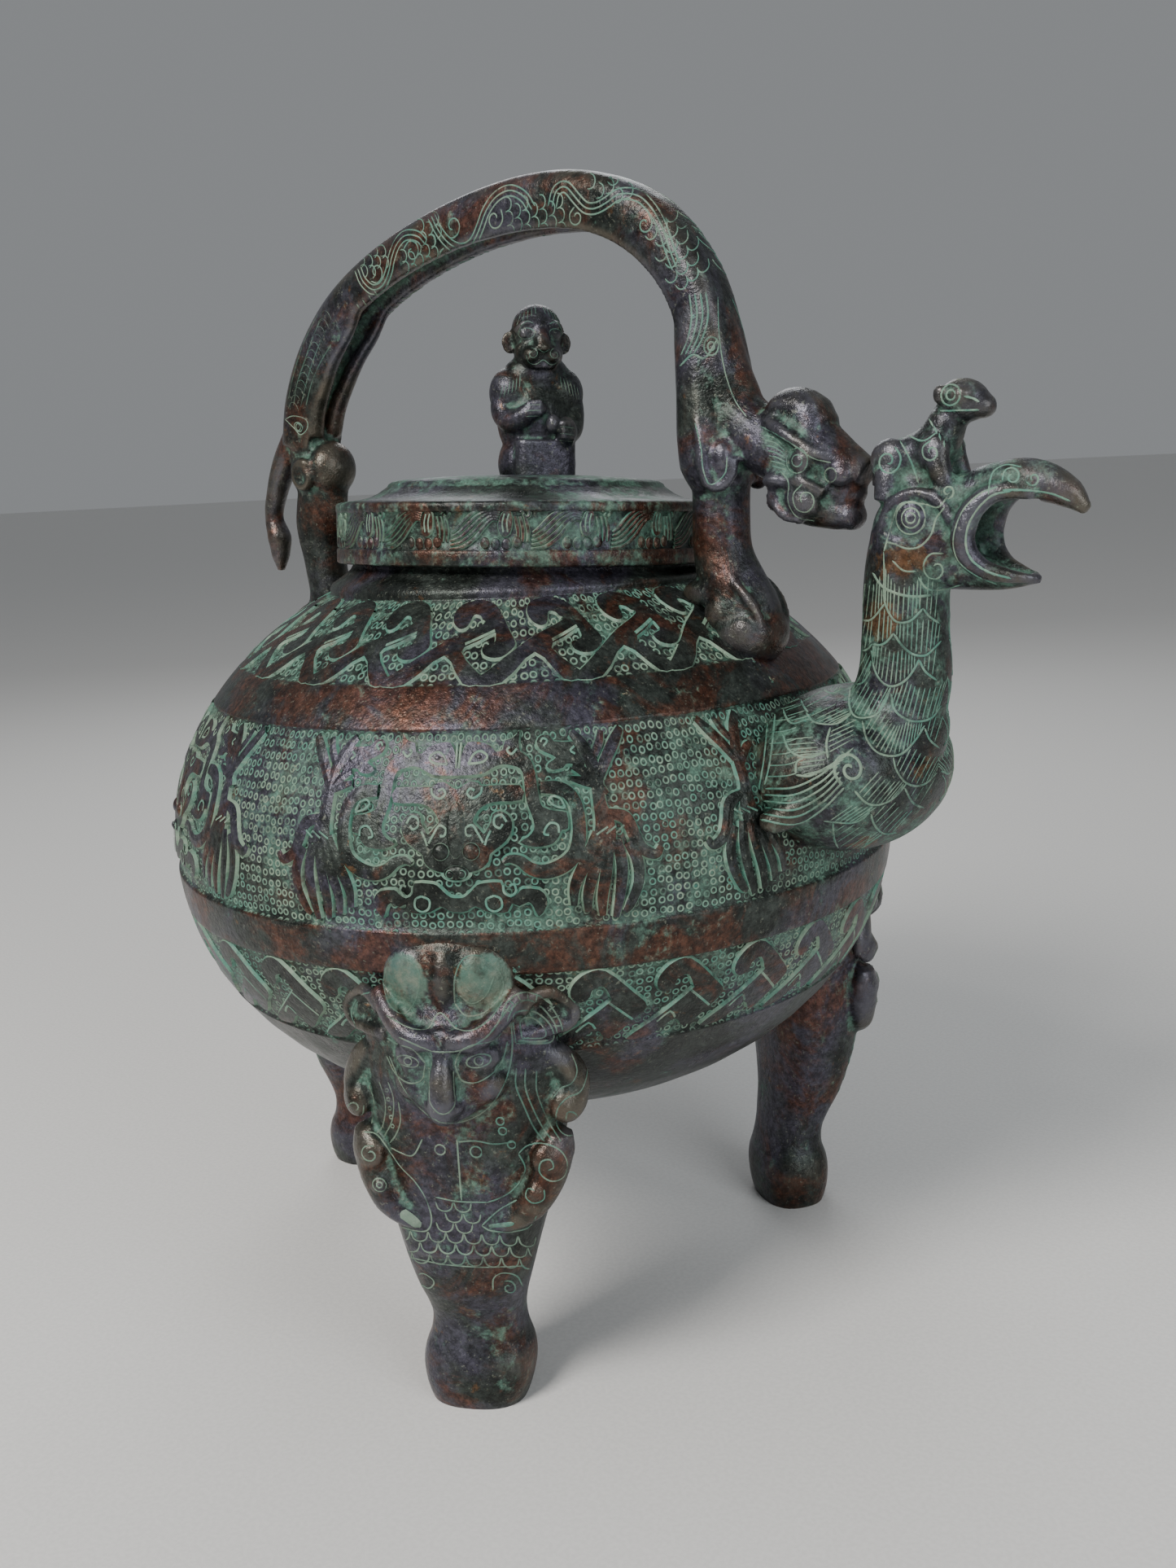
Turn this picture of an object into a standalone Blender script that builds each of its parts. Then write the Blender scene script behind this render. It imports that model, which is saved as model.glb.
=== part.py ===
"""A bronze he: a round pouring vessel on three beast-mask legs, with a bird spout,
a dragon arch handle and a loose lid with a seated monkey.

The feet stand on Z = 0 and the spout points along +X. Everything is built round the
bowl's own axis, and moved at the end so that the origin is the middle of the footprint.
Sizes are in millimetres and are turned into metres where a mesh is made.
"""

import math

import bmesh
import bpy
from mathutils import Matrix, Vector

MM = 0.001
CLEARANCE = 0.3

# Where the bowl's axis stands once the whole is centred on the origin
BOWL_X = -21.83

# Bowl: two half superellipses of revolution about Z
BELLY_RADIUS = 95.7
BELLY_HEIGHT = 125.4
SHOULDER_RISE = 73.5
SHOULDER_POWER = 2.0
BOTTOM_DROP = 74.0
BOTTOM_POWER = 2.1
WALL = 3.0
BOWL_STEPS = 40
CAVITY_STEPS = 20
LID_STEPS = 24

# Heights of the six ring lines that divide the bowl into friezes, top to bottom
RING_SHOULDER = 188.0
RING_UPPER_BAND = (171.0, 162.5)
RING_LOWER_BAND = (121.0, 111.3)
RING_BASE = 90.0
FRIEZE_SINK = 0.7

# Ornament standing on the sunk friezes: bars as (degrees, height, half width) stations
RELIEF_RISE = 0.3
RELIEF_ROOT = 1.8
HOOK_COUNT = 21
HOOK_START = -64.5
HOOK_STEM = ((-8.3, 171.9, 1.8), (8.0, 182.4, 1.8))
HOOK_SCROLL = ((2.2, 183.0, 2.6), (5.6, 186.0, 2.4), (11.3, 180.0, 2.4), (8.6, 176.4, 2.2))
MASK_TURNS = (-120.0, -60.0, 60.0, 120.0, 180.0)
MASK_FRAME = ((-9.6, 140.6, 1.5), (-10.0, 153.0, 1.7), (0.0, 156.0, 3.2), (10.0, 153.0, 1.7),
              (9.6, 140.6, 1.5))
MASK_NOSE = ((0.0, 150.0, 2.6), (0.0, 139.0, 4.6), (0.0, 133.6, 2.0))
BIRD_OFFSET = 20.0
BIRD_BODY = ((1.4, 160.0, 3.2), (-0.2, 146.0, 1.8), (-2.6, 128.0, 3.4))

# Mouth: a low collar that the lid drops over, leaning a little to one side
COLLAR_RADIUS = 45.6
COLLAR_TOP = 199.0
COLLAR_FOOT = 192.0
MOUTH_RADIUS = 42.8
LEAN = math.sin(math.radians(3.4))
LEAN_AZIMUTH = math.radians(75.0)
MOUTH_SHIFT = (1.1, 1.0)

# Lid
LID_RADIUS = 49.6
LID_BOTTOM = 192.8
LID_RIM_TOP = 207.6
LID_DISC_RADIUS = 36.0
LID_TOP = 215.0
LID_SKIRT = 2.6
FLANGE_RADIUS = 42.2
FLANGE_BOTTOM = 194.5
LID_WALL = 2.8

# Legs: azimuth of the mask, then azimuth and radius of the middle of the foot
LEGS = ((-62.0, -65.0, 77.0), (57.0, 51.0, 70.0), (178.0, 177.0, 85.0))
LEG_NAMES = ("leg_front_right", "leg_front_left", "leg_rear")
LEG_TOP = 119.0
FOOT_RADIUS = 73.0
HIP_HEIGHT = 90.0
HIP_BEND = 58.0

# Handle arch: width across, and the line down the middle of its section, as X and Z
ARCH_WIDTH = 15.0
ARCH_LINE = (
    (-80.0, 226.0),
    (-76.5, 238.5),
    (-68.5, 252.0),
    (-55.5, 263.5),
    (-36.0, 272.5),
    (-12.0, 278.5),
    (12.0, 280.5),
    (31.5, 278.0),
    (47.0, 270.5),
    (58.0, 258.0),
    (63.5, 243.0),
    (66.0, 229.0),
    (66.0, 216.0),
)
ARCH_THICKNESS = (13.0, 13.5, 12.5, 12.0, 12.0, 12.5, 13.5, 13.5, 13.0, 11.5, 11.0, 11.5, 11.0)
GROOVE_WIDTH = 7.0
GROOVE_DEPTH = 3.4
POST_RADIUS = 6.0
FRONT_POST_X = 66.0
REAR_POST_X = -77.0

# Spout bore
BORE_RADIUS = 5.2

# The spout, handle and legs end this far off the bowl, where a caster would join them,
# and the bowl is parted at this height of its shoulder
JOIN_GAP = 1.1
SHOULDER_JOIN = 166.8
BREAST = ((97.0, 0.0, 146.0), (22.0, 28.0, 19.0))

BRONZE = (0.10, 0.13, 0.11, 1.0)


def clear_scene():
    """Start from an empty file, whatever the default scene holds."""
    for obj in list(bpy.data.objects):
        bpy.data.objects.remove(obj, do_unlink=True)


def new_collection(name):
    collection = bpy.data.collections.new(name)
    bpy.context.scene.collection.children.link(collection)
    return collection


def bronze_material(name, tint):
    material = bpy.data.materials.new(name)
    material.use_nodes = True
    shader = material.node_tree.nodes["Principled BSDF"]
    shader.inputs["Base Color"].default_value = tint
    shader.inputs["Metallic"].default_value = 0.7
    shader.inputs["Roughness"].default_value = 0.5
    return material


def object_of(name, mesh, collection):
    obj = bpy.data.objects.new(name, mesh)
    collection.objects.link(obj)
    return obj


def applied(obj):
    """Bake an object's modifiers into its own mesh."""
    graph = bpy.context.evaluated_depsgraph_get()
    graph.update()
    mesh = bpy.data.meshes.new_from_object(obj.evaluated_get(graph))
    obj.modifiers.clear()
    obj.data = mesh
    return obj


def mesh_object(name, build, collection):
    """A mesh object from a function that fills a bmesh; its doubles are merged."""
    bm = bmesh.new()
    build(bm)
    bmesh.ops.remove_doubles(bm, verts=bm.verts, dist=0.00001)
    bmesh.ops.recalc_face_normals(bm, faces=bm.faces)
    mesh = bpy.data.meshes.new(name)
    bm.to_mesh(mesh)
    bm.free()
    return object_of(name, mesh, collection)


def turned(name, profile, steps, collection):
    """A solid of revolution from (radius, height) points that run top to bottom outside."""
    mesh = bpy.data.meshes.new(name)
    points = [(r * MM, 0.0, z * MM) for r, z in profile]
    mesh.from_pydata(points, [(i, i + 1) for i in range(len(points) - 1)], [])
    obj = object_of(name, mesh, collection)
    screw = obj.modifiers.new("turn", "SCREW")
    screw.steps = steps
    screw.render_steps = steps
    screw.use_merge_vertices = True
    screw.merge_threshold = 0.0001
    return applied(obj)


def ball(centre, radii, turn=(0.0, 0.0, 0.0)):
    """An ellipsoid: its centre, three radii and Euler turn in degrees."""
    def build(bm):
        spin = Matrix.Rotation(math.radians(turn[2]), 4, "Z")
        spin = spin @ Matrix.Rotation(math.radians(turn[1]), 4, "Y")
        spin = spin @ Matrix.Rotation(math.radians(turn[0]), 4, "X")
        size = Matrix.Diagonal((*[r * MM for r in radii], 1.0))
        place = Matrix.Translation(Vector(centre) * MM) @ spin @ size
        bmesh.ops.create_uvsphere(bm, u_segments=20, v_segments=12, radius=1.0, matrix=place)
    return build


def smooth_line(points, steps):
    """Points along a Catmull-Rom curve through the given tuples of any length."""
    ends = [points[0], *points, points[-1]]
    line = []
    for i in range(1, len(ends) - 2):
        for k in range(steps):
            t = k / steps
            line.append(tuple(
                0.5 * (2 * b + (c - a) * t + (2 * a - 5 * b + 4 * c - d) * t * t
                       + (3 * b - a - 3 * c + d) * t ** 3)
                for a, b, c, d in zip(ends[i - 1], ends[i], ends[i + 1], ends[i + 2])))
    line.append(tuple(points[-1]))
    return line


def loft(rings):
    """A closed skin over a row of rings of points, with a fan at each end."""
    def build(bm):
        rows = [[bm.verts.new(Vector(p) * MM) for p in ring] for ring in rings]
        count = len(rows[0])
        for low, high in zip(rows, rows[1:]):
            for i in range(count):
                j = (i + 1) % count
                bm.faces.new((low[i], low[j], high[j], high[i]))
        bm.faces.new(rows[0][::-1])
        bm.faces.new(rows[-1])
    return build


def tube(points, steps=4, sides=14, flat=1.0):
    """A tapering round bar through (x, y, z, radius) points; flat widens it across Y."""
    line = smooth_line(points, steps)
    rings = []
    for i, point in enumerate(line):
        before = Vector(line[max(i - 1, 0)][:3])
        after = Vector(line[min(i + 1, len(line) - 1)][:3])
        along = (after - before).normalized()
        side = Vector((0.0, 1.0, 0.0)) if abs(along.y) < 0.8 else Vector((1.0, 0.0, 0.0))
        up = along.cross(side).normalized()
        side = up.cross(along).normalized()
        ring = []
        for k in range(sides):
            angle = 2 * math.pi * k / sides
            offset = side * math.cos(angle) * flat + up * math.sin(angle)
            ring.append(Vector(point[:3]) + offset * point[3])
        rings.append(ring)
    return loft(rings)


def both_sides(centre, radii, turn=(0.0, 0.0, 0.0)):
    """The same ball on the +Y and on the -Y side."""
    x, y, z = centre
    mirrored = (-turn[0], turn[1], -turn[2])
    return [ball((x, y, z), radii, turn), ball((x, -y, z), radii, mirrored)]


def mirrored_tubes(points, **options):
    flipped = [(x, -y, z, r) for x, y, z, r in points]
    return [tube(points, **options), tube(flipped, **options)]


def fused(name, shapes, voxel, faces, collection):
    """Many overlapping shapes melted into one skin of about the given face count."""
    obj = mesh_object(name, lambda bm: [shape(bm) for shape in shapes], collection)
    remesh = obj.modifiers.new("melt", "REMESH")
    remesh.mode = "VOXEL"
    remesh.voxel_size = voxel * MM
    soften = obj.modifiers.new("soften", "SMOOTH")
    soften.factor = 0.5
    soften.iterations = 2
    applied(obj)
    thin = obj.modifiers.new("thin", "DECIMATE")
    thin.ratio = min(1.0, faces / (2 * len(obj.data.polygons)))
    return applied(obj)


def cut_or_join(target, others, operation):
    for other in others:
        modifier = target.modifiers.new(other.name, "BOOLEAN")
        modifier.operation = operation
        modifier.solver = "EXACT"
        modifier.object = other
    applied(target)
    for other in others:
        bpy.data.objects.remove(other, do_unlink=True)
    return target


def belly_radius(z):
    """Outer radius of the bowl at a height, without its bands."""
    rise = z - BELLY_HEIGHT
    reach, power = (SHOULDER_RISE, SHOULDER_POWER) if rise > 0 else (BOTTOM_DROP, BOTTOM_POWER)
    share = min(abs(rise) / reach, 1.0)
    return BELLY_RADIUS * (1.0 - share ** power) ** (1.0 / power)


def heights(top, bottom, count):
    return [top + (bottom - top) * i / count for i in range(count + 1)]


def lean_mouth(obj):
    """Tip and shift everything above the collar's foot, easing in from the shoulder ring."""
    toward = Vector((math.cos(LEAN_AZIMUTH), math.sin(LEAN_AZIMUTH), 0.0))
    for vert in obj.data.vertices:
        ease = (vert.co.z / MM - RING_SHOULDER) / (COLLAR_FOOT - RING_SHOULDER)
        share = min(max(ease, 0.0), 1.0)
        height = max(vert.co.z - COLLAR_FOOT * MM, 0.0)
        vert.co.z -= share * LEAN * vert.co.dot(toward)
        vert.co += share * (Vector((*MOUTH_SHIFT, 0.0)) * MM + toward * LEAN * height)
    obj.data.update()


def bowl_profile():
    """The outside, from the collar's top down to the middle of the bottom."""
    points = [(0.0, COLLAR_TOP), (COLLAR_RADIUS, COLLAR_TOP), (COLLAR_RADIUS, COLLAR_FOOT)]
    points.append((belly_radius(RING_SHOULDER) + FRIEZE_SINK, RING_SHOULDER + 1.2))
    points.append((belly_radius(RING_SHOULDER) + FRIEZE_SINK, RING_SHOULDER))
    friezes = (
        (RING_SHOULDER, RING_UPPER_BAND[0], 2),
        (RING_UPPER_BAND[1], RING_LOWER_BAND[0], 4),
        (RING_LOWER_BAND[1], RING_BASE, 2),
    )
    for top, bottom, count in friezes:
        points += [(belly_radius(z) - FRIEZE_SINK, z) for z in heights(top, bottom, count)]
        points.append((belly_radius(bottom), bottom))
        if bottom == RING_UPPER_BAND[0]:
            points.append((belly_radius(RING_UPPER_BAND[1]), RING_UPPER_BAND[1]))
        if bottom == RING_LOWER_BAND[0]:
            points.append((belly_radius(RING_LOWER_BAND[1]), RING_LOWER_BAND[1]))
    base = [80.0, 69.0, 60.0, 54.0, BELLY_HEIGHT - BOTTOM_DROP]
    points += [(belly_radius(z), z) for z in base]
    return points


def cavity_profile():
    """The inside, as a solid to take away, open through the mouth."""
    points = [(0.0, COLLAR_TOP + 20.0), (MOUTH_RADIUS, COLLAR_TOP + 20.0)]
    points.append((MOUTH_RADIUS, COLLAR_FOOT))
    points.append((MOUTH_RADIUS, 190.0))
    inside = [178.0, 160.0, 138.0, 114.0, 92.0, 74.0, 61.0]
    for z in inside:
        shrink = (z - BELLY_HEIGHT) * (SHOULDER_RISE / (SHOULDER_RISE - WALL))
        points.append((max(belly_radius(BELLY_HEIGHT + shrink) - WALL, 0.0), z))
    points.append((0.0, BELLY_HEIGHT - BOTTOM_DROP + WALL))
    return points


def on_bowl(degrees, z, rise):
    """A point that stands off the bowl's skin by the rise, along the skin's normal."""
    slope = (belly_radius(z + 0.5) - belly_radius(z - 0.5)) / 1.0
    tilt = math.hypot(1.0, slope)
    radius = belly_radius(z) + rise / tilt
    angle = math.radians(degrees)
    return Vector((radius * math.cos(angle), radius * math.sin(angle), z - rise * slope / tilt))


def raised_bar(stations, turn):
    """A bar along stations on the bowl, from under its skin to the relief's height."""
    middle = [on_bowl(turn + a, z, 0.0) for a, z, half in stations]
    rings = []
    for i, (a, z, half) in enumerate(stations):
        along = middle[min(i + 1, len(middle) - 1)] - middle[max(i - 1, 0)]
        out = on_bowl(turn + a, z, 1.0) - middle[i]
        side = out.cross(along).normalized() * half
        ring = []
        for across, rise in ((-1, RELIEF_RISE), (1, RELIEF_RISE), (1, -RELIEF_ROOT), (-1, -RELIEF_ROOT)):
            ring.append(middle[i] + side * across + out * rise)
        rings.append(ring)
    return loft(rings)


def ornament(name, bars, collection):
    """One mesh of bars that don't touch each other."""
    return mesh_object(name, lambda bm: [bar(bm) for bar in bars], collection)


def make_ornament(collection):
    """The hooks, masks and birds of the two upper friezes, in groups of clear bars."""
    hooks = [HOOK_START + k * 360.0 / HOOK_COUNT for k in range(HOOK_COUNT)]
    patterns = (
        ("hook_stems", HOOK_STEM, hooks),
        ("hook_scrolls", HOOK_SCROLL, hooks),
        ("mask_frames", MASK_FRAME, MASK_TURNS),
        ("mask_noses", MASK_NOSE, MASK_TURNS),
    )
    groups = []
    for name, stations, turns in patterns:
        bars = [raised_bar(stations, turn) for turn in turns]
        groups.append(ornament(name, bars, collection))
    birds = []
    for turn in (0.0, *MASK_TURNS):
        for side in (-1.0, 1.0):
            stations = [(side * (BIRD_OFFSET + a), z, half) for a, z, half in BIRD_BODY]
            birds.append(raised_bar(stations, turn))
    groups.append(ornament("birds", birds, collection))
    return groups


def leg_rings():
    """Sections of the common leg, as height, inner and outer radius, half width."""
    sections = (
        (-4.0, 65.0, 80.5, 10.0),
        (2.0, 63.0, 83.0, 12.4),
        (8.0, 62.5, 83.8, 13.6),
        (17.0, 63.5, 82.5, 11.6),
        (33.0, 66.5, 89.5, 14.4),
        (44.0, 66.5, 93.0, 17.0),
        (58.0, 66.5, 96.0, 21.0),
        (72.0, 70.0, 98.0, 24.5),
        (84.0, 77.0, 99.5, 26.0),
        (96.0, 84.0, 100.0, 23.0),
        (107.0, 88.0, 98.5, 15.0),
        (LEG_TOP, 90.0, 96.5, 6.0),
    )
    rings = []
    for z, inner, outer, half in sections:
        middle, deep = (inner + outer) / 2, (outer - inner) / 2
        ring = []
        for k in range(20):
            angle = 2 * math.pi * k / 20
            c, s = math.cos(angle), math.sin(angle)
            x = middle + deep * math.copysign(abs(c) ** 0.75, c)
            ring.append((x, half * math.copysign(abs(s) ** 0.75, s), z))
        rings.append(ring)
    return rings


def leg_shapes():
    """A leg with its horned beast mask, side scrolls and bird heads, along +X."""
    shapes = [loft(leg_rings())]
    shapes.append(ball((92.0, 0.0, 94.0), (11.0, 15.0, 15.5)))
    shapes.append(tube([(101.5, 0, 103.0, 3.2), (104.0, 0, 95.0, 2.6), (105.0, 0, 88.0, 3.6)]))
    shapes.append(ball((99.5, 0.0, 113.0), (3.0, 4.0, 7.0), (0.0, -12.0, 0.0)))
    shapes += both_sides((99.0, 9.0, 110.0), (3.2, 7.0, 6.2), (0.0, 0.0, 8.0))
    brow = [(103.0, 1.5, 100.0, 2.4), (103.0, 8.0, 98.5, 2.2), (99.0, 14.5, 104.5, 2.0)]
    shapes += mirrored_tubes(brow)
    shapes += both_sides((101.0, 7.5, 94.0), (2.2, 4.2, 2.4))
    ear = [(96.5, 17.0, 100.0, 2.5), (95.0, 23.0, 98.0, 2.5), (94.0, 27.0, 90.0, 3.0),
           (94.5, 25.5, 82.0, 3.2)]
    shapes += mirrored_tubes(ear)
    shapes += both_sides((92.0, 25.0, 79.5), (4.5, 4.5, 5.5))
    shapes += both_sides((92.0, 21.5, 68.5), (5.0, 5.0, 6.0))
    head = [(91.5, 19.0, 62.0, 4.5), (91.0, 17.0, 55.5, 4.2), (91.0, 10.5, 50.5, 2.4)]
    shapes += mirrored_tubes(head)
    return shapes


def set_leg(obj, mask_azimuth, foot_azimuth, foot_radius):
    """Bend the hip round the bowl, turn the leg to its mask, and carry its foot into place."""
    turn = Matrix.Rotation(math.radians(mask_azimuth), 3, "Z")
    aim = Matrix.Rotation(math.radians(foot_azimuth), 3, "Z") @ Vector((foot_radius, 0.0, 0.0))
    carry = (aim - turn @ Vector((FOOT_RADIUS, 0.0, 0.0))) * MM
    for vert in obj.data.vertices:
        hip = min(max((vert.co.z / MM - 40.0) / 40.0, 0.0), 1.0)
        vert.co.x -= hip * vert.co.y ** 2 / (2 * HIP_BEND * MM)
        vert.co = turn @ vert.co + carry * max(1.0 - vert.co.z / (HIP_HEIGHT * MM), 0.0)
    obj.data.update()
    return obj


def make_legs(collection):
    pattern = fused("leg_pattern", leg_shapes(), 1.6, 310, collection)
    legs = []
    for name, placing in zip(LEG_NAMES, LEGS):
        leg = object_of(name, pattern.data.copy(), collection)
        legs.append(set_leg(leg, *placing))
    bpy.data.objects.remove(pattern, do_unlink=True)
    return legs


def arch_rings():
    """Sections of the handle's arch: a rounded bar with a groove along its underside."""
    half, lip = ARCH_WIDTH / 2, GROOVE_WIDTH / 2
    line = smooth_line([(x, z, t) for (x, z), t in zip(ARCH_LINE, ARCH_THICKNESS)], 2)
    rings = []
    for i, (x, z, thick) in enumerate(line):
        before, after = line[max(i - 1, 0)], line[min(i + 1, len(line) - 1)]
        along = Vector((after[0] - before[0], 0.0, after[1] - before[1])).normalized()
        out = Vector((-along.z, 0.0, along.x))
        top = thick / 2
        section = (
            (-half * 0.55, top), (half * 0.55, top), (half * 0.95, top * 0.55),
            (half, -top * 0.4), (half * 0.85, -top), (lip, -top),
            (lip * 0.8, GROOVE_DEPTH - top), (-lip * 0.8, GROOVE_DEPTH - top),
            (-lip, -top), (-half * 0.85, -top), (-half, -top * 0.4), (-half * 0.95, top * 0.55),
        )
        ring = [Vector((x, 0, z)) + Vector((0, across, 0)) + out * rise for across, rise in section]
        rings.append(ring)
    return rings


def handle_shapes():
    """Everything of the handle but the arch itself: haunches, posts, masks and head."""
    shapes = []
    # Rear: two haunches, a hanging tail, the post and its mask on the shoulder
    shapes.append(ball((-77.5, 0.0, 222.0), (8.0, 7.0, 9.0)))
    shapes += both_sides((-75.5, 6.0, 218.5), (8.5, 4.5, 8.0))
    shapes.append(tube([(-84, 0, 230, 4.5), (-91, 0, 218, 4.6), (-95, 0, 206, 4.2),
                        (-97, 0, 193, 2.4)]))
    shapes.append(tube([(-75.5, 0, 216, 6.5), (REAR_POST_X, 0, 200, POST_RADIUS),
                        (REAR_POST_X - 0.5, 0, 184, POST_RADIUS + 0.4), (-80, 0, 163, 9.0)]))
    shapes.append(ball((-83.0, 0.0, 173.0), (10.0, 9.5, 7.0), (0.0, -48.0, 0.0)))
    # Front: shoulders, chest, the post and its mask
    shapes.append(ball((66.0, 0.0, 221.0), (8.5, 7.2, 10.0)))
    shapes += both_sides((65.0, 6.2, 217.0), (8.5, 4.5, 9.5))
    shapes.append(tube([(66, 0, 214, 7.0), (FRONT_POST_X, 0, 202, POST_RADIUS),
                        (FRONT_POST_X, 0, 188, POST_RADIUS + 0.4), (68, 0, 172, 9.5)]))
    shapes.append(ball((75.0, 0.0, 178.5), (12.0, 10.5, 6.8), (0.0, 42.0, 0.0)))
    shapes.append(ball((84.5, 0.0, 169.0), (7.0, 7.5, 5.0), (0.0, 48.0, 0.0)))
    shapes += both_sides((76.0, 6.5, 182.0), (3.4, 3.0, 3.4))
    # Dragon head: neck, skull, crest, forehead, snout and lower jaw
    shapes.append(tube([(68, 0, 224, 7.5), (76, 0, 219, 7.0), (84, 0, 216, 7.5)]))
    shapes.append(ball((87.0, 0.0, 215.5), (9.0, 8.2, 8.0)))
    shapes.append(ball((86.0, 0.0, 225.0), (6.6, 7.0, 5.4), (0.0, 8.0, 0.0)))
    shapes.append(tube([(88, 0, 222, 6.0), (95, 0, 216, 5.4), (101, 0, 212.2, 4.2),
                        (102.4, 0, 211.2, 2.8)]))
    jaw = [(82, 0, 208, 5.5), (90, 0, 205, 4.6), (97.5, 0, 202.6, 2.8)]
    shapes.append(tube(jaw, flat=1.3))
    shapes += both_sides((90.0, 6.5, 217.5), (3.0, 2.6, 3.0))
    shapes += both_sides((97.5, 4.0, 212.5), (3.0, 2.6, 3.0))
    shapes += both_sides((89.0, 6.4, 207.5), (4.2, 2.6, 3.4))
    return shapes


def spout_shapes():
    """The bird: breast, neck, open beak, and the small beast on its crown."""
    shapes = [
        ball(*BREAST),
        ball((109.5, 0.0, 156.0), (10.5, 12.5, 14.0)),
        tube([(106, 0, 154, 11.5), (110.5, 0, 166, 10.4), (111, 0, 178, 9.5),
              (111.5, 0, 190, 9.3), (113, 0, 198, 9.2)]),
        ball((113.5, 0.0, 199.0), (9.5, 8.6, 10.5)),
        ball((119.5, 0.0, 199.0), (8.5, 7.8, 9.5)),
    ]
    upper = [(118, 0, 205, 6.0), (127, 0, 207.2, 5.2), (134, 0, 209.0, 4.6),
             (141, 0, 209.4, 4.2), (147.5, 0, 207.0, 3.2), (151.6, 0, 202.6, 1.2)]
    lower = [(118, 0, 193, 6.2), (126, 0, 191, 4.4), (134, 0, 189.8, 2.8), (142, 0, 189.3, 1.0)]
    shapes += [tube(upper, flat=1.15), tube(lower, flat=1.2)]
    shapes += both_sides((117.0, 7.2, 202.5), (3.2, 2.4, 3.2))
    # Small beast: crouching body, legs, neck and head
    shapes.append(tube([(108, 0, 213, 4.6), (113, 0, 215.5, 4.4), (119, 0, 219.5, 3.8),
                        (123, 0, 226, 3.0)]))
    shapes.append(ball((125.5, 0.0, 227.2), (5.6, 3.8, 4.2), (0.0, 22.0, 0.0)))
    shapes += both_sides((108.6, 3.6, 213.5), (4.6, 2.8, 4.8))
    shapes += mirrored_tubes([(108, 4.2, 212, 2.4), (108, 5.4, 206, 2.6)], steps=2)
    shapes += mirrored_tubes([(119, 3.2, 217, 2.4), (121.5, 4.4, 209, 2.4)], steps=2)
    shapes.append(tube([(106.0, 0, 216, 2.2), (106.0, 0, 209, 2.2)], steps=2))
    # Wings folded back along the bowl
    wing = [(106, 20.0, 149, 3.5), (101, 25.0, 144, 4.2), (91, 29.5, 137, 2.6)]
    shapes += mirrored_tubes(wing)
    return shapes


def bore_shapes():
    """The spout's channel, and the throat of the open beak."""
    channel = [(84, 0, 146, BORE_RADIUS), (98, 0, 148, BORE_RADIUS), (108, 0, 156, BORE_RADIUS),
               (111, 0, 168, BORE_RADIUS), (111.5, 0, 182, BORE_RADIUS),
               (115, 0, 192, BORE_RADIUS), (122, 0, 197.5, 4.6), (131, 0, 199.5, 4.6)]
    return tube(channel, steps=2, sides=10)


def skin_cutter(cutters):
    """The bowl's outside a little larger, which the spout, handle and legs are cut back to."""
    steps = heights(186.0, 56.0, 20)
    profile = [(0.0, 186.0)] + [(belly_radius(z) + JOIN_GAP, z) for z in steps] + [(0.0, 56.0)]
    return turned("skin", profile, BOWL_STEPS, cutters)


def slab(name, bottom, top, cutters):
    """A wide block between two heights, to cut with."""
    middle, deep = (bottom + top) / 2 * MM, (top - bottom) * MM
    return mesh_object(name, lambda bm: bmesh.ops.create_cube(
        bm, size=1.0,
        matrix=Matrix.Translation((0, 0, middle)) @ Matrix.Diagonal((0.4, 0.4, deep, 1))), cutters)


def make_bowl(collection, cutters):
    """The hollow bowl, open at the mouth and at the spout's root, parted at its shoulder."""
    bowl = turned("bowl", bowl_profile(), BOWL_STEPS, collection)
    lean_mouth(bowl)
    cut_or_join(bowl, make_ornament(collection), "UNION")
    cavity = turned("cavity", cavity_profile(), CAVITY_STEPS, cutters)
    lean_mouth(cavity)
    bore = mesh_object("bore", bore_shapes(), cutters)
    cut_or_join(bowl, [cavity, bore], "DIFFERENCE")
    shoulder = object_of("shoulder", bowl.data.copy(), collection)
    above = slab("above", SHOULDER_JOIN, 400.0, cutters)
    below = slab("below", -10.0, SHOULDER_JOIN + CLEARANCE, cutters)
    return [cut_or_join(bowl, [above], "DIFFERENCE"), cut_or_join(shoulder, [below], "DIFFERENCE")]


def make_spout(collection, cutters):
    """The bird, bored through to the bowl."""
    spout = fused("spout", spout_shapes(), 1.1, 620, collection)
    bore = mesh_object("bore", bore_shapes(), cutters)
    return cut_or_join(spout, [skin_cutter(cutters), bore], "DIFFERENCE")


def make_handle(collection, cutters):
    """The arch with its beast ends, kept clear of the bird's breast."""
    handle = fused("handle", handle_shapes(), 1.1, 620, collection)
    arch = mesh_object("arch", loft(arch_rings()), collection)
    cut_or_join(handle, [arch], "UNION")
    centre, radii = BREAST
    breast = mesh_object("breast", ball(centre, [r + JOIN_GAP for r in radii]), cutters)
    return cut_or_join(handle, [skin_cutter(cutters), breast], "DIFFERENCE")


def trim_leg(leg, cutters):
    floor = slab("floor", -20.0, 0.0, cutters)
    return cut_or_join(leg, [skin_cutter(cutters), floor], "DIFFERENCE")


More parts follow.
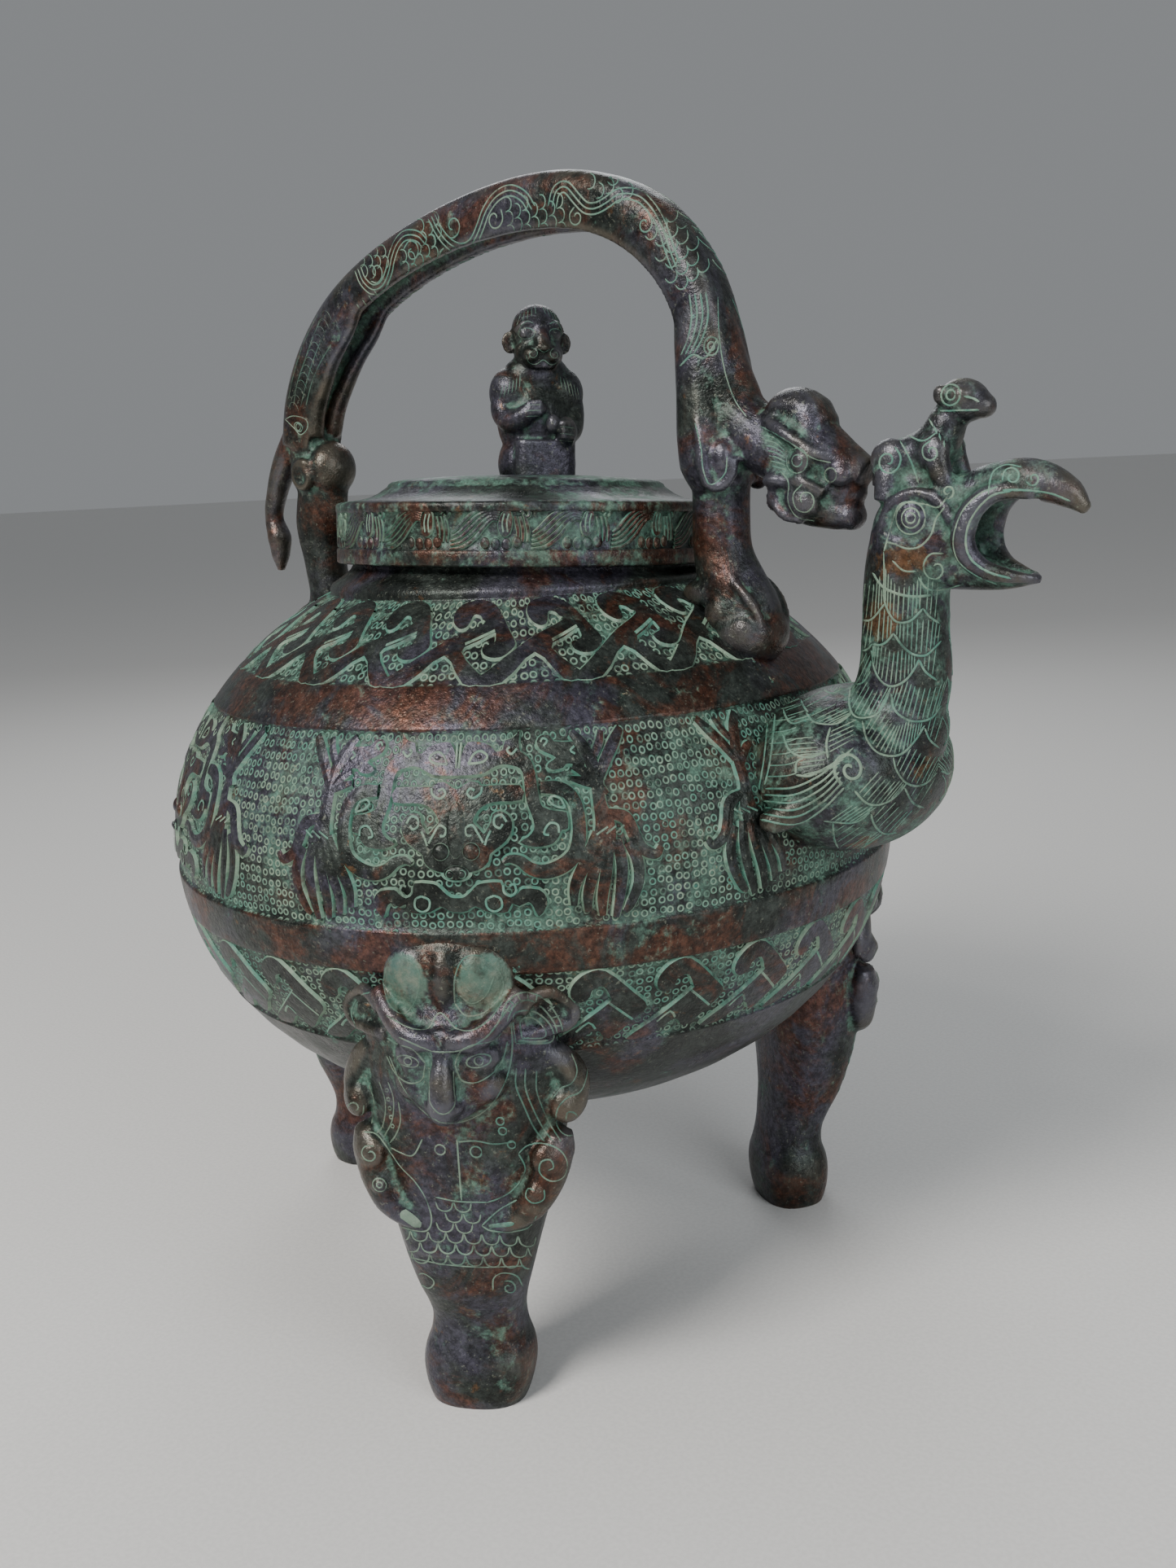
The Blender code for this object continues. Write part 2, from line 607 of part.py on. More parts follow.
def lid_profile():
    """Outside from the knob's place down to the rim, then up inside: skirt, flange, hollow."""
    inner = LID_RADIUS - LID_SKIRT
    rest = COLLAR_TOP + CLEARANCE
    return [
        (0.0, LID_TOP), (28.0, LID_TOP - 0.7), (LID_DISC_RADIUS - 1.2, LID_TOP - 1.6),
        (LID_DISC_RADIUS, LID_TOP - 2.6), (37.6, 211.2), (40.5, 209.4), (44.5, 208.4),
        (48.0, LID_RIM_TOP), (LID_RADIUS, LID_RIM_TOP), (LID_RADIUS, LID_RIM_TOP - 2.0),
        (LID_RADIUS - 0.7, LID_RIM_TOP - 2.2), (LID_RADIUS - 0.7, LID_BOTTOM + 3.8),
        (LID_RADIUS, LID_BOTTOM + 3.6), (LID_RADIUS, LID_BOTTOM), (inner, LID_BOTTOM),
        (inner, rest), (FLANGE_RADIUS, rest), (FLANGE_RADIUS, FLANGE_BOTTOM),
        (FLANGE_RADIUS - 2.4, FLANGE_BOTTOM), (FLANGE_RADIUS - 2.4, LID_RIM_TOP - 2.5),
        (33.0, LID_TOP - LID_WALL - 1.6), (0.0, LID_TOP - LID_WALL),
    ]


MONKEY_SHOULDERS = 26.0


def monkey_shapes():
    """A seated monkey, knees drawn up and hands on its chest, facing +X from its own axis."""
    base, half = LID_TOP, MONKEY_SHOULDERS / 2
    shapes = [
        ball((0.0, 0.0, base + 4.0), (9.5, 12.0, 9.0)),
        ball((-0.5, 0.0, base + 17.0), (8.5, 10.8, 11.5)),
        ball((1.0, 0.0, base + 34.5), (6.4, 6.2, 7.0)),
        ball((5.6, 0.0, base + 32.0), (4.0, 4.2, 3.8)),
        ball((0.0, 0.0, base + 27.5), (6.0, 7.0, 5.0)),
    ]
    shapes += both_sides((0.0, 7.2, base + 34.0), (1.8, 1.7, 2.6))
    shapes += both_sides((5.5, 5.4, base + 5.0), (5.2, 5.8, 9.5))
    arm = [(0.0, half - 4.5, base + 22.5, 4.2), (2.0, half - 3.6, base + 16.5, 4.0),
           (8.0, half - 7.0, base + 14.0, 3.4), (10.0, 1.5, base + 15.5, 2.6)]
    shapes += mirrored_tubes(arm)
    return shapes


MONKEY_AZIMUTH = math.radians(-38.0)
MONKEY_PLACE = (3.6, 3.1, 0.0)


def make_lid(collection):
    """The lid with its monkey, leaning with the mouth it rests on."""
    lid = turned("lid", lid_profile(), LID_STEPS, collection)
    monkey = fused("monkey", monkey_shapes(), 0.9, 350, collection)
    turn = Matrix.Rotation(MONKEY_AZIMUTH, 4, "Z")
    monkey.data.transform(Matrix.Translation(Vector(MONKEY_PLACE) * MM) @ turn)
    trim = mesh_object("trim", lambda bm: bmesh.ops.create_cone(
        bm, cap_ends=True, segments=24, radius1=0.035, radius2=0.035, depth=0.02,
        matrix=Matrix.Translation((0, 0, (LID_TOP - 1.2) * MM - 0.01))), collection)
    cut_or_join(monkey, [trim], "DIFFERENCE")
    cut_or_join(lid, [monkey], "UNION")
    lean_mouth(lid)
    return lid


def finish(obj, material):
    """Move a finished piece to the common origin and give it its bronze."""
    obj.data.transform(Matrix.Translation((BOWL_X * MM, 0.0, 0.0)))
    obj.data.materials.clear()
    obj.data.materials.append(material)
    for polygon in obj.data.polygons:
        polygon.use_smooth = True
    obj.data.set_sharp_from_angle(angle=math.radians(35.0))


def main():
    clear_scene()
    parts = new_collection("bronze_he")
    cutters = new_collection("cutters")
    cutters.hide_render = True
    pieces = make_bowl(parts, cutters)
    pieces.append(make_spout(parts, cutters))
    pieces.append(make_handle(parts, cutters))
    pieces += [trim_leg(leg, cutters) for leg in make_legs(parts)]
    pieces.append(make_lid(parts))
    bronze = bronze_material("aged_bronze", BRONZE)
    for piece in pieces:
        finish(piece, bronze)


main()
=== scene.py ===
"""Looks of the bronze he vessel: the cast vessel, its loose lid and a plain stage.

Shapes are worked in millimetres round the bowl's own axis, and settle() puts each
finished mesh in metres in the frame of the solids.
"""

import math

import bmesh
import bpy
import numpy as np
from bpy.props import FloatProperty, FloatVectorProperty, PointerProperty
from mathutils import Matrix, Vector
from mathutils.bvhtree import BVHTree
from mathutils.geometry import tessellate_polygon


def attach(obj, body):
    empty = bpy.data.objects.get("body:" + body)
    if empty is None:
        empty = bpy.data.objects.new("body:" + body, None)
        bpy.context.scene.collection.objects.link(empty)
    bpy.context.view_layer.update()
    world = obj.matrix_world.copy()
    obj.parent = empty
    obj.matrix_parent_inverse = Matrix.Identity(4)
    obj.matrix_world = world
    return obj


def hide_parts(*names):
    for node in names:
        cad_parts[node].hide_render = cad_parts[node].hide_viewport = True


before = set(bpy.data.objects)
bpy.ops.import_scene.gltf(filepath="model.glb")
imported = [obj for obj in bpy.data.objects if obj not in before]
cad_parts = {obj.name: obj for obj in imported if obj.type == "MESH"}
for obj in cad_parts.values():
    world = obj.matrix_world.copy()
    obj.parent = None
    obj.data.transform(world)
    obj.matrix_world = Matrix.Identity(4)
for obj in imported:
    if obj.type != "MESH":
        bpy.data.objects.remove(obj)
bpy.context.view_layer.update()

bl_info = {
    "name": "Bronze He Vessel",
    "version": (1, 0, 0),
    "blender": (4, 5, 0),
    "location": "View3D > Sidebar > He Vessel",
    "description": "Builds the bronze pouring vessel, its loose lid and a plain stage",
    "category": "Object",
}

# The one casting, which the solids hold in seven parts
CASTING = ("bowl", "shoulder", "spout", "handle", "leg_front_right", "leg_front_left", "leg_rear")

# Depth of the frieze's ground and width of the filled lines, in metres
FRIEZE_RELIEF = 0.00066
LINE_WIDTH = 0.00048

# Ochre stains, as (x, y, z, reach) in mm about the bowl's axis
STAINS = (
    (110, -9, 181, 4.5), (120.5, -8, 150, 4), (97, -12, 133, 4), (105, -12, 133, 4), (112, -8, 193.5, 4),
    (118.5, -7, 194.5, 2.5),
)

# One millimetre in metres
MM = 0.001

# The bowl's axis in the frame of the solids, and the camera seen from that axis, in mm
AXIS_X = -21.83
EYE = Vector((258.17, -295.4, 216.36))

# Bowl: its outside, its wall and the channel to the beak, in mm
BELLY_RADIUS = 95.7
BELLY_HEIGHT = 125.4
SHOULDER_RISE = 73.5
BOTTOM_DROP = 74.0
BOTTOM_POWER = 2.1
WALL = 3.0
HOLLOW_FLOOR = 55.0
CHANNEL_RADIUS = 5.2
RING_SHOULDER = 188.0
RING_BASE = 90.0
PLAIN_BANDS = ((111.1, 121.1), (162.4, 171.1))

# Depth of the friezes' ground, and the foot of the plates that stand on it
SINK = 0.7
FRIEZE_FOOT = -0.66

# Mouth and lid: the mouth leans a little, and the lid's band stands on its recessed side
COLLAR_FOOT = 192.0
COLLAR_TOP = 199.0
COLLAR_RADIUS = 45.6
MOUTH_RADIUS = 42.8
LEAN = math.sin(math.radians(3.4))
LEAN_AZIMUTH = math.radians(75.0)
MOUTH_SHIFT = (1.1, 1.0)
LID_RADIUS = 49.6
LID_BOTTOM = 192.8
LID_TOP = 215.0
LID_RECESS = 0.7
BAND_FOOT = -0.05

# Legs: azimuth of the mask, then azimuth and radius of the middle of the foot
LEGS = {
    "leg_front_right": (-62.0, -65.0, 77.0),
    "leg_front_left": (57.0, 51.0, 70.0),
    "leg_rear": (178.0, 177.0, 85.0),
}
# The common leg: radii of its foot and face, and the heights and roundness of the bend at its hip
FOOT_RADIUS = 73.0
FACE_RADIUS = 98.0
BEND_FOOT = 40.0
BEND_RISE = 40.0
HIP_HEIGHT = 90.0
HIP_BEND = 58.0

# Arch of the handle, as (x, height, thickness), with the groove along its underside
ARCH_LINE = (
    (-80, 226, 13), (-76.5, 238.5, 13.5), (-68.5, 252, 12.5), (-55.5, 263.5, 12),
    (-36, 272.5, 12), (-12, 278.5, 12.5), (12, 280.5, 13.5), (31.5, 278, 13.5),
    (47, 270.5, 13), (58, 258, 11.5), (63.5, 243, 11), (66, 229, 11.5),
    (66, 216, 11),
)
ARCH_WIDTH = 15.0
GROOVE_WIDTH = 7.0
GROOVE_DEPTH = 3.4

# The monkey's turn on the lid, and its shift
MONKEY_AZIMUTH = math.radians(-38.0)
MONKEY_PLACE = (2.2, 1.9)

# Surface width of one degree round each band, in mm
SHOULDER_ARC = 1.12
BELLY_ARC = 1.67
LOWER_ARC = 1.57
LID_ARC = 0.86

# Flags of a cast skin: rounds of softening and the depth that counts as fully hollow, in mm
SOFT_ROUNDS = 14
FULL_DEPTH = 0.55

# Strokes: step along them, widest gap, sunk edges and narrow ends
STROKE_STEP = 0.55
STROKE_GAP = 2.6
THREAD_SINK = 0.04
THREAD_END = 0.35
FEATHER_STEP = 1.15
FEATHER_REACH = 7.0
SCALE_REACH = 1.75


# Handling of meshes

def deselect():
    """Leave nothing selected or active."""
    bpy.ops.object.select_all(action="DESELECT")
    bpy.context.view_layer.objects.active = None


def pick(objects):
    deselect()
    for obj in objects:
        obj.select_set(True)
    bpy.context.view_layer.objects.active = objects[0]


def joined(objects, name):
    pick(objects)
    if len(objects) > 1:
        bpy.ops.object.join()
    obj = bpy.context.view_layer.objects.active
    obj.name = name
    obj.data.name = name
    deselect()
    return obj


def place_applied(obj):
    """Put an object's own place, turn and size into its mesh."""
    pick([obj])
    bpy.ops.object.transform_apply(location=True, rotation=True, scale=True)
    deselect()
    return obj


def modifier_put(obj, kind, **settings):
    modifier = obj.modifiers.new(kind.lower(), kind)
    for key, value in settings.items():
        setattr(modifier, key, value)
    pick([obj])
    bpy.ops.object.modifier_apply(modifier=modifier.name)
    deselect()
    return obj


def points_of(obj, kind="co"):
    """The places of a mesh's points, or their normals."""
    values = np.empty(len(obj.data.vertices) * 3)
    obj.data.vertices.foreach_get(kind, values)
    return values.reshape(-1, 3)


def set_points(obj, co):
    obj.data.vertices.foreach_set("co", np.asarray(co, float).ravel())
    obj.data.update()


def mark(obj, name, values):
    """A number for each vertex that the materials read."""
    data = obj.data.attributes.get(name) or obj.data.attributes.new(name, "FLOAT", "POINT")
    data.data.foreach_set("value", np.asarray(values, np.float32))


def whole_mesh(obj, *steps):
    """Put (operator, settings) steps of edit mode to the whole of a mesh."""
    pick([obj])
    bpy.ops.object.mode_set(mode="EDIT")
    for step, settings in steps:
        bpy.ops.mesh.select_all(action="SELECT")
        step(**settings)
    bpy.ops.object.mode_set(mode="OBJECT")
    deselect()
    return obj


def cut_below(obj, height):
    """Cut off what lies below a height, and close the cut."""
    return whole_mesh(obj, (bpy.ops.mesh.bisect, {
        "plane_co": (0, 0, height), "plane_no": (0, 0, 1), "use_fill": True, "clear_inner": True}))


def bored(obj, points, flat=1.0):
    """Take the bar along (x, y, z, radius) points out of a mesh."""
    bore = rod(points, flat)
    modifier_put(obj, "BOOLEAN", operation="DIFFERENCE", solver="EXACT", object=bore)
    bpy.data.objects.remove(bore, do_unlink=True)
    return obj


def copied(obj, name):
    """A second object with its own mesh."""
    twin = obj.copy()
    twin.data = obj.data.copy()
    twin.name = name
    bpy.context.collection.objects.link(twin)
    return twin


def mesh_object(name, points, faces):
    mesh = bpy.data.meshes.new(name)
    mesh.from_pydata([tuple(p) for p in points], [], faces)
    mesh.update()
    obj = bpy.data.objects.new(name, mesh)
    bpy.context.collection.objects.link(obj)
    return obj


# Primitives that the cast beasts are melted from

def blob(centre, radii, turn=(0.0, 0.0, 0.0), fine=28):
    """An ellipsoid added at its size and place; turn is in degrees."""
    bpy.ops.mesh.primitive_uv_sphere_add(
        segments=fine, ring_count=fine * 2 // 3, radius=1.0, location=centre, scale=radii,
        rotation=[math.radians(a) for a in turn])
    return place_applied(bpy.context.object)


def rod(points, flat=1.0, sides=5):
    """A tapering bar along (x, y, z, radius) points; flat widens it across Y."""
    bpy.ops.curve.primitive_bezier_curve_add(location=(0, 0, 0))
    curve = bpy.context.object
    shape = curve.data
    shape.bevel_depth = 1.0
    shape.bevel_resolution = sides
    shape.resolution_u = 6
    shape.use_fill_caps = True
    shape.dimensions = "3D"
    shape.twist_mode = "MINIMUM"
    spline = shape.splines[0]
    spline.bezier_points.add(len(points) - 2)
    for knot, (x, y, z, r) in zip(spline.bezier_points, points):
        knot.co = (x, y, z)
        knot.radius = r
        knot.handle_left_type = "AUTO"
        knot.handle_right_type = "AUTO"
    pick([curve])
    bpy.ops.object.convert(target="MESH")
    bar = bpy.context.object
    deselect()
    if flat != 1.0:
        co = points_of(bar)
        co[:, 1] *= flat
        set_points(bar, co)
    return bar


def pair(centre, radii, turn=(0.0, 0.0, 0.0)):
    """An ellipsoid on each side of the middle plane."""
    x, y, z = centre
    return [blob((x, y, z), radii, turn), blob((x, -y, z), radii, (-turn[0], turn[1], -turn[2]))]


def rod_pair(points):
    """A tapering bar on each side of the middle plane."""
    return [rod(points), rod([(x, -y, z, r) for x, y, z, r in points])]


def melted(shapes, name, voxel, rounds=3):
    """Overlapping shapes made one skin, then softened."""
    obj = joined(shapes, name)
    modifier_put(obj, "REMESH", mode="VOXEL", voxel_size=voxel, use_smooth_shade=True)
    modifier_put(obj, "SMOOTH", factor=0.5, iterations=rounds)
    return obj


# The bowl's surface

def belly(z):
    """Outer radius of the bowl at heights, without its bands."""
    z = np.asarray(z, float)
    up = np.clip((z - BELLY_HEIGHT) / SHOULDER_RISE, 0, 1)
    down = np.clip((BELLY_HEIGHT - z) / BOTTOM_DROP, 0, 1)
    high = np.sqrt(1 - up ** 2)
    low = (1 - down ** BOTTOM_POWER) ** (1 / BOTTOM_POWER)
    return BELLY_RADIUS * np.where(z > BELLY_HEIGHT, high, low)


def on_bowl(angle, z, rise):
    """Points that stand off the bowl's skin; angle is in degrees."""
    angle, z, rise = (np.asarray(v, float) for v in (angle, z, rise))
    slope = belly(z + 0.5) - belly(z - 0.5)
    tilt = np.hypot(1.0, slope)
    radius = belly(z) + rise / tilt
    a = np.radians(angle)
    return np.stack([radius * np.cos(a), radius * np.sin(a), z - rise * slope / tilt], -1)


def on_lid(angle, z, rise):
    """Points that stand off the lid's band, in the lid's upright place."""
    a = np.radians(np.asarray(angle, float))
    radius = LID_RADIUS - LID_RECESS + np.asarray(rise, float)
    return np.stack([radius * np.cos(a), radius * np.sin(a), np.asarray(z, float) + 0 * a], -1)


def lean(co):
    """Tip and shift everything above the collar's foot, easing in from the shoulder ring."""
    co = np.array(co, float)
    share = np.clip((co[:, 2] - RING_SHOULDER) / (COLLAR_FOOT - RING_SHOULDER), 0, 1)
    toward = np.array([math.cos(LEAN_AZIMUTH), math.sin(LEAN_AZIMUTH)])
    height = np.maximum(co[:, 2] - COLLAR_FOOT, 0)
    along = co[:, :2] @ toward
    co[:, 2] -= share * LEAN * along
    shift = np.array(MOUTH_SHIFT) + toward * (LEAN * height)[:, None]
    co[:, :2] += share[:, None] * shift
    return co


def kept_in_wall(obj):
    """Draw what reaches into the hollow back into the thickness of the bowl's wall."""
    co = points_of(obj)
    middle = belly(co[:, 2]) - WALL / 2 - SINK / 2
    radius = np.hypot(co[:, 0], co[:, 1])
    inside = (radius < middle) & (co[:, 2] < RING_SHOULDER) & (co[:, 2] > HOLLOW_FLOOR)
    grow = np.where(inside, middle / np.maximum(radius, 1e-6), 1.0)
    co[:, :2] *= grow[:, None]
    set_points(obj, co)
    return obj


def weathered(obj):
    """Flag where a cast skin is hollow, to hold verdigris, and where its edges stand out, to be worn
    lighter with a painted sheen.
    """
    co = points_of(obj)
    edges = np.empty(len(obj.data.edges) * 2, int)
    obj.data.edges.foreach_get("vertices", edges)
    edges = edges.reshape(-1, 2)
    degree = np.maximum(np.bincount(edges.ravel(), minlength=len(co)), 1)[:, None]
    soft = co.copy()
    for _ in range(SOFT_ROUNDS):
        total = np.zeros_like(soft)
        for axis in range(3):
            total[:, axis] = (np.bincount(edges[:, 0], soft[edges[:, 1], axis], len(co))
                              + np.bincount(edges[:, 1], soft[edges[:, 0], axis], len(co)))
        soft = total / degree
    stand = np.sum((co - soft) * points_of(obj, "normal"), axis=1)
    mark(obj, "hollow", np.clip(-stand / FULL_DEPTH, 0, 1))
    # The finish lightens these edges, partly as wear and partly as a painted sheen
    mark(obj, "edge", np.clip(stand / FULL_DEPTH, 0, 1))
    return obj


def settle(obj, material, replaced=()):
    """Move a finished mesh into the frame of the solids and let it ride with them."""
    co = points_of(obj)
    stained = np.zeros(len(co))
    for *place, reach in STAINS:
        away = np.linalg.norm(co - place, axis=1)
        stained = np.maximum(stained, np.clip(1.6 - away / reach, 0, 1))
    mark(obj, "ochre", stained)
    obj.data.transform(Matrix.Translation((AXIS_X * MM, 0, 0)) @ Matrix.Scale(MM, 4))
    obj.data.materials.clear()
    obj.data.materials.append(material)
    for polygon in obj.data.polygons:
        polygon.use_smooth = True
    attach(obj, "root")
    if replaced:
        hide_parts(*replaced)


def in_order(obj):
    """Put a mesh's points, edges and faces in order of place, because a spin leaves them in any order."""
    bm = bmesh.new()
    bm.from_mesh(obj.data)
    for k, vert in enumerate(sorted(bm.verts, key=lambda v: tuple(v.co))):
        vert.index = k
    bm.verts.sort()
    for parts in (bm.edges, bm.faces):
        for k, part in enumerate(sorted(parts, key=lambda p: sorted(v.index for v in p.verts))):
            part.index = k
        parts.sort()
    bm.to_mesh(obj.data)
    bm.free()
    return obj


def spun(name, section, steps):
    """A closed skin of revolution from (radius, height) points that start and end on the axis."""
    bpy.ops.mesh.primitive_circle_add(vertices=len(section), radius=1.0, location=(0, 0, 0))
    obj = bpy.context.object
    obj.name = name
    obj.data.name = name
    set_points(obj, [(r, 0.0, z) for r, z in section])
    # The circle is opened where the section meets the axis
    bm = bmesh.new()
    bm.from_mesh(obj.data)
    bm.verts.ensure_lookup_table()
    bm.edges.remove(bm.edges.get((bm.verts[0], bm.verts[-1])))
    bm.to_mesh(obj.data)
    bm.free()
    turn = {"steps": steps, "angle": 2 * math.pi, "center": (0, 0, 0), "axis": (0, 0, 1)}
    return in_order(whole_mesh(
        obj, (bpy.ops.mesh.spin, turn), (bpy.ops.mesh.remove_doubles, {"threshold": 0.001}),
        (bpy.ops.mesh.normals_make_consistent, {"inside": False})))


# Lines and plates of the ornament

def flowing(points, steps=6, closed=False):
    """A smooth row of points through the given ones, of any width."""
    p = np.asarray(points, float)
    if closed:
        ends = np.vstack([p[-1], p, p[0], p[1]])
    else:
        ends = np.vstack([2 * p[0] - p[1], p, 2 * p[-1] - p[-2]])
    t = np.arange(steps)[:, None] / steps
    rows = []
    for i in range(1, len(ends) - 2):
        a, b, c, d = ends[i - 1], ends[i], ends[i + 1], ends[i + 2]
        rows.append(0.5 * (2 * b + (c - a) * t + (2 * a - 5 * b + 4 * c - d) * t ** 2
                           + (3 * b - a - 3 * c + d) * t ** 3))
    line = np.vstack(rows)
    return line if closed else np.vstack([line, p[-1]])


def ribbon_faces(n):
    """Faces between three rows of n points, which lie one after the other."""
    return [(k + i, k + i + 1, k + n + i + 1, k + n + i) for i in range(n - 1) for k in (0, n)]


class Carving:
    """Gathers strips and plates, in flat coordinates with a rise, for one surface."""

    def __init__(self, scale):
        self.scale = scale
        self.points = []
        self.faces = []
        self.line = []
        self.count = 0

    def add(self, points, faces, line):
        raised = bpy.context.scene.he_sizes.relief / FRIEZE_RELIEF
        self.points.append(np.asarray(points, float) * (1, 1, raised))
        self.faces += [tuple(i + self.count for i in face) for face in faces]
        self.line.append(np.asarray(line, float))
        self.count += len(points)

    def sides(self, line, closed=False):
        """Unit normals to a flat row of points, in mm."""
        flat = line[:, :2] * self.scale
        if closed:
            along = np.roll(flat, -1, 0) - np.roll(flat, 1, 0)
        else:
            along = np.gradient(flat, axis=0)
        along /= np.maximum(np.linalg.norm(along, axis=1), 1e-9)[:, None]
        return np.stack([-along[:, 1], along[:, 0]], -1) / self.scale

    def bar(self, stations, top, foot=FRIEZE_FOOT, edge=0.45, crown=0.15, steps=5):
        """A raised bar with pale sloping edges along (place, height, half width) stations."""
        row = flowing(stations, steps)
        side = self.sides(row)
        half = np.maximum(row[:, 2:3], 0.05)
        places = ((-1, -edge, foot), (-1, 0, top), (0, 0, top + crown), (1, 0, top), (1, edge, foot))
        rows = []
        for sign, more, rise in places:
            flat = row[:, :2] + side * (sign * half + more)
            rows.append(np.column_stack([flat, np.full(len(row), rise)]))
        n = len(row)
        faces = [(i, i + 1, n + i + 1, n + i) for i in range(n - 1)]
        for k, pale in enumerate((1, 0, 0, 1)):
            self.add(np.vstack(rows[k:k + 2]), faces, [pale] * (2 * n))
        for at, sign in ((0, -1), (n - 1, 1)):
            along = np.array([side[at][1] * self.scale[1], -side[at][0] * self.scale[0]])
            reach = along / self.scale * edge * -sign
            rim = [rows[k][at] for k in range(5)]
            out = [np.array([*(p[:2] + reach), foot]) for p in rim]
            faces = [(k, k + 1, 5 + k + 1, 5 + k) for k in range(4)]
            self.add(rim + out, faces, [1] * 10)

    def groove(self, stations, rise, half=0.28, steps=5):
        """A pale filled line lying on the surface."""
        row = flowing(stations, steps)
        side = self.sides(row) * half
        n = len(row)
        rows = [np.column_stack([flat, np.full(n, height)])
                for flat, height in ((row + side, rise), (row, rise + 0.06), (row - side, rise))]
        self.add(np.vstack(rows), ribbon_faces(n), [1] * (3 * n))

    def plate(self, outline, top, foot=FRIEZE_FOOT, edge=0.5, steps=4):
        """A flat-topped raised shape inside a closed outline, with pale sloping edges."""
        rim = flowing(outline, steps, closed=True)
        area = 0.5 * np.sum(rim[:, 0] * np.roll(rim[:, 1], -1) - np.roll(rim[:, 0], -1) * rim[:, 1])
        out = self.sides(rim, closed=True) * (-1 if area > 0 else 1)
        n = len(rim)
        inner = np.column_stack([rim, np.full(n, top)])
        outer = np.column_stack([rim + out * edge, np.full(n, foot)])
        faces = [(i, (i + 1) % n, n + (i + 1) % n, n + i) for i in range(n)]
        self.add(np.vstack([inner, outer]), faces, [1] * (2 * n))
        flat = [Vector((x * self.scale[0], z * self.scale[1], 0)) for x, z in rim]
        bm = bmesh.new()
        verts = [bm.verts.new(p) for p in flat]
        for tri in tessellate_polygon([flat]):
            bm.faces.new([verts[k] for k in tri])
        low = np.min([tuple(p) for p in flat], axis=0)
        high = np.max([tuple(p) for p in flat], axis=0)
        # The top is cut into cells, so that it can follow the round surface
        for axis, normal, cell in ((0, Vector((1, 0, 0)), 2.5), (1, Vector((0, 1, 0)), 3.0)):
            at = low[axis] + cell
            while at < high[axis]:
                everything = bm.verts[:] + bm.edges[:] + bm.faces[:]
                bmesh.ops.bisect_plane(bm, geom=everything, plane_co=normal * at, plane_no=normal)
                at += cell
        bm.verts.index_update()
        points = [(v.co.x / self.scale[0], v.co.y / self.scale[1], top) for v in bm.verts]
        faces = [tuple(v.index for v in f.verts) for f in bm.faces]
        self.add(points, faces, [0] * len(points))
        bm.free()

    def boss(self, centre, half, rise, foot=0.0, pale=0.25, sides=18):
        """A dome with a pale rim; half is its reach in mm along both ways."""
        rings = 4
        points, line = [], []
        grow = (1.0 + pale, 1.0, *[math.cos(0.5 * math.pi * k / rings) for k in range(1, rings)])
        lift = (foot - 0.15, foot, *[foot + rise * math.sin(0.5 * math.pi * k / rings)
                                     for k in range(1, rings)])
        for g, h in zip(grow, lift):
            for k in range(sides):
                angle = 2 * math.pi * k / sides
                x, y = half[0] * g * math.cos(angle), half[1] * g * math.sin(angle)
                points.append((centre[0] + x / self.scale[0], centre[1] + y / self.scale[1], h))
                line.append(1.0 if g >= 1.0 else 0.0)
        points.append((centre[0], centre[1], foot + rise))
        line.append(0.0)
        faces = []
        for ring in range(len(grow) - 1):
            for k in range(sides):
                j = (k + 1) % sides
                a = ring * sides
                faces.append((a + k, a + j, a + sides + j, a + sides + k))
        top = (len(grow) - 1) * sides
        faces += [(top + k, top + (k + 1) % sides, len(points) - 1) for k in range(sides)]
        self.add(points, faces, line)

    def repeated(self, turns, wrap, name, mirror=False):
        """The gathered ornament laid on a surface at each turn, with faces outwards."""
        flat = np.vstack(self.points)
        line = np.concatenate(self.line)
        rows, faces, lines = [], [], []
        for turn in turns:
            for sign in ((1, -1) if mirror else (1,)):
                start = sum(len(r) for r in rows)
                rows.append(wrap(turn + sign * flat[:, 0], flat[:, 1], flat[:, 2]))
                lines.append(line)
                faces += [tuple(i + start for i in face) for face in self.faces]
        points = np.vstack(rows)
        obj = mesh_object(name, points, turned_out(points, faces))
        mark(obj, "line", np.concatenate(lines))
        mark(obj, "plate", np.ones(len(points)))
        return obj


def turned_out(points, faces):
    """Each face's order turned so that it faces away from the bowl's axis."""
    fixed = []
    for face in faces:
        a, b, c = points[face[0]], points[face[1]], points[face[2]]
        normal = np.cross(b - a, c - a)
        if len(face) > 3 and np.dot(normal, normal) < 1e-12:
            normal = np.cross(c - a, points[face[3]] - a)
        out = np.array([a[0], a[1], 0.0])
        fixed.append(face if np.dot(normal, out) >= 0 else face[::-1])
    return fixed


# Ornament of the friezes: (degrees, height in mm), read round one unit of each pattern

HOOK_UNIT = (
    (-11, 171.4), (-8.5, 173.8), (-4.5, 177), (0, 180), (6.7, 182.8), (6.2, 183.6), (5.5, 184.4),
    (4, 184.6), (3.5, 183.2), (2.9, 182.2), (1.5, 182), (-0.2, 183.2), (-0.9, 185), (0, 186.6),
    (2.5, 187.3), (5.5, 187.4), (8.5, 186.5), (10.5, 184.5), (12.5, 181), (13.5, 178.8),
    (12.7, 177.5), (11, 176.3), (9, 176.2), (7.5, 177), (7.2, 178.3), (8.5, 178.8), (9.5, 179.2),
    (9.6, 180.2), (9.2, 181.0), (6.2, 179.5), (3.2, 177.5), (8, 172.3), (7.4, 171.4), (4.5, 171.4),
    (0, 176.9), (-6, 171.4),
)
HOOK_LINE = ((3.6, 179), (9.3, 181.4))
HOOK_COUNT = 21
HOOK_START = -64.5

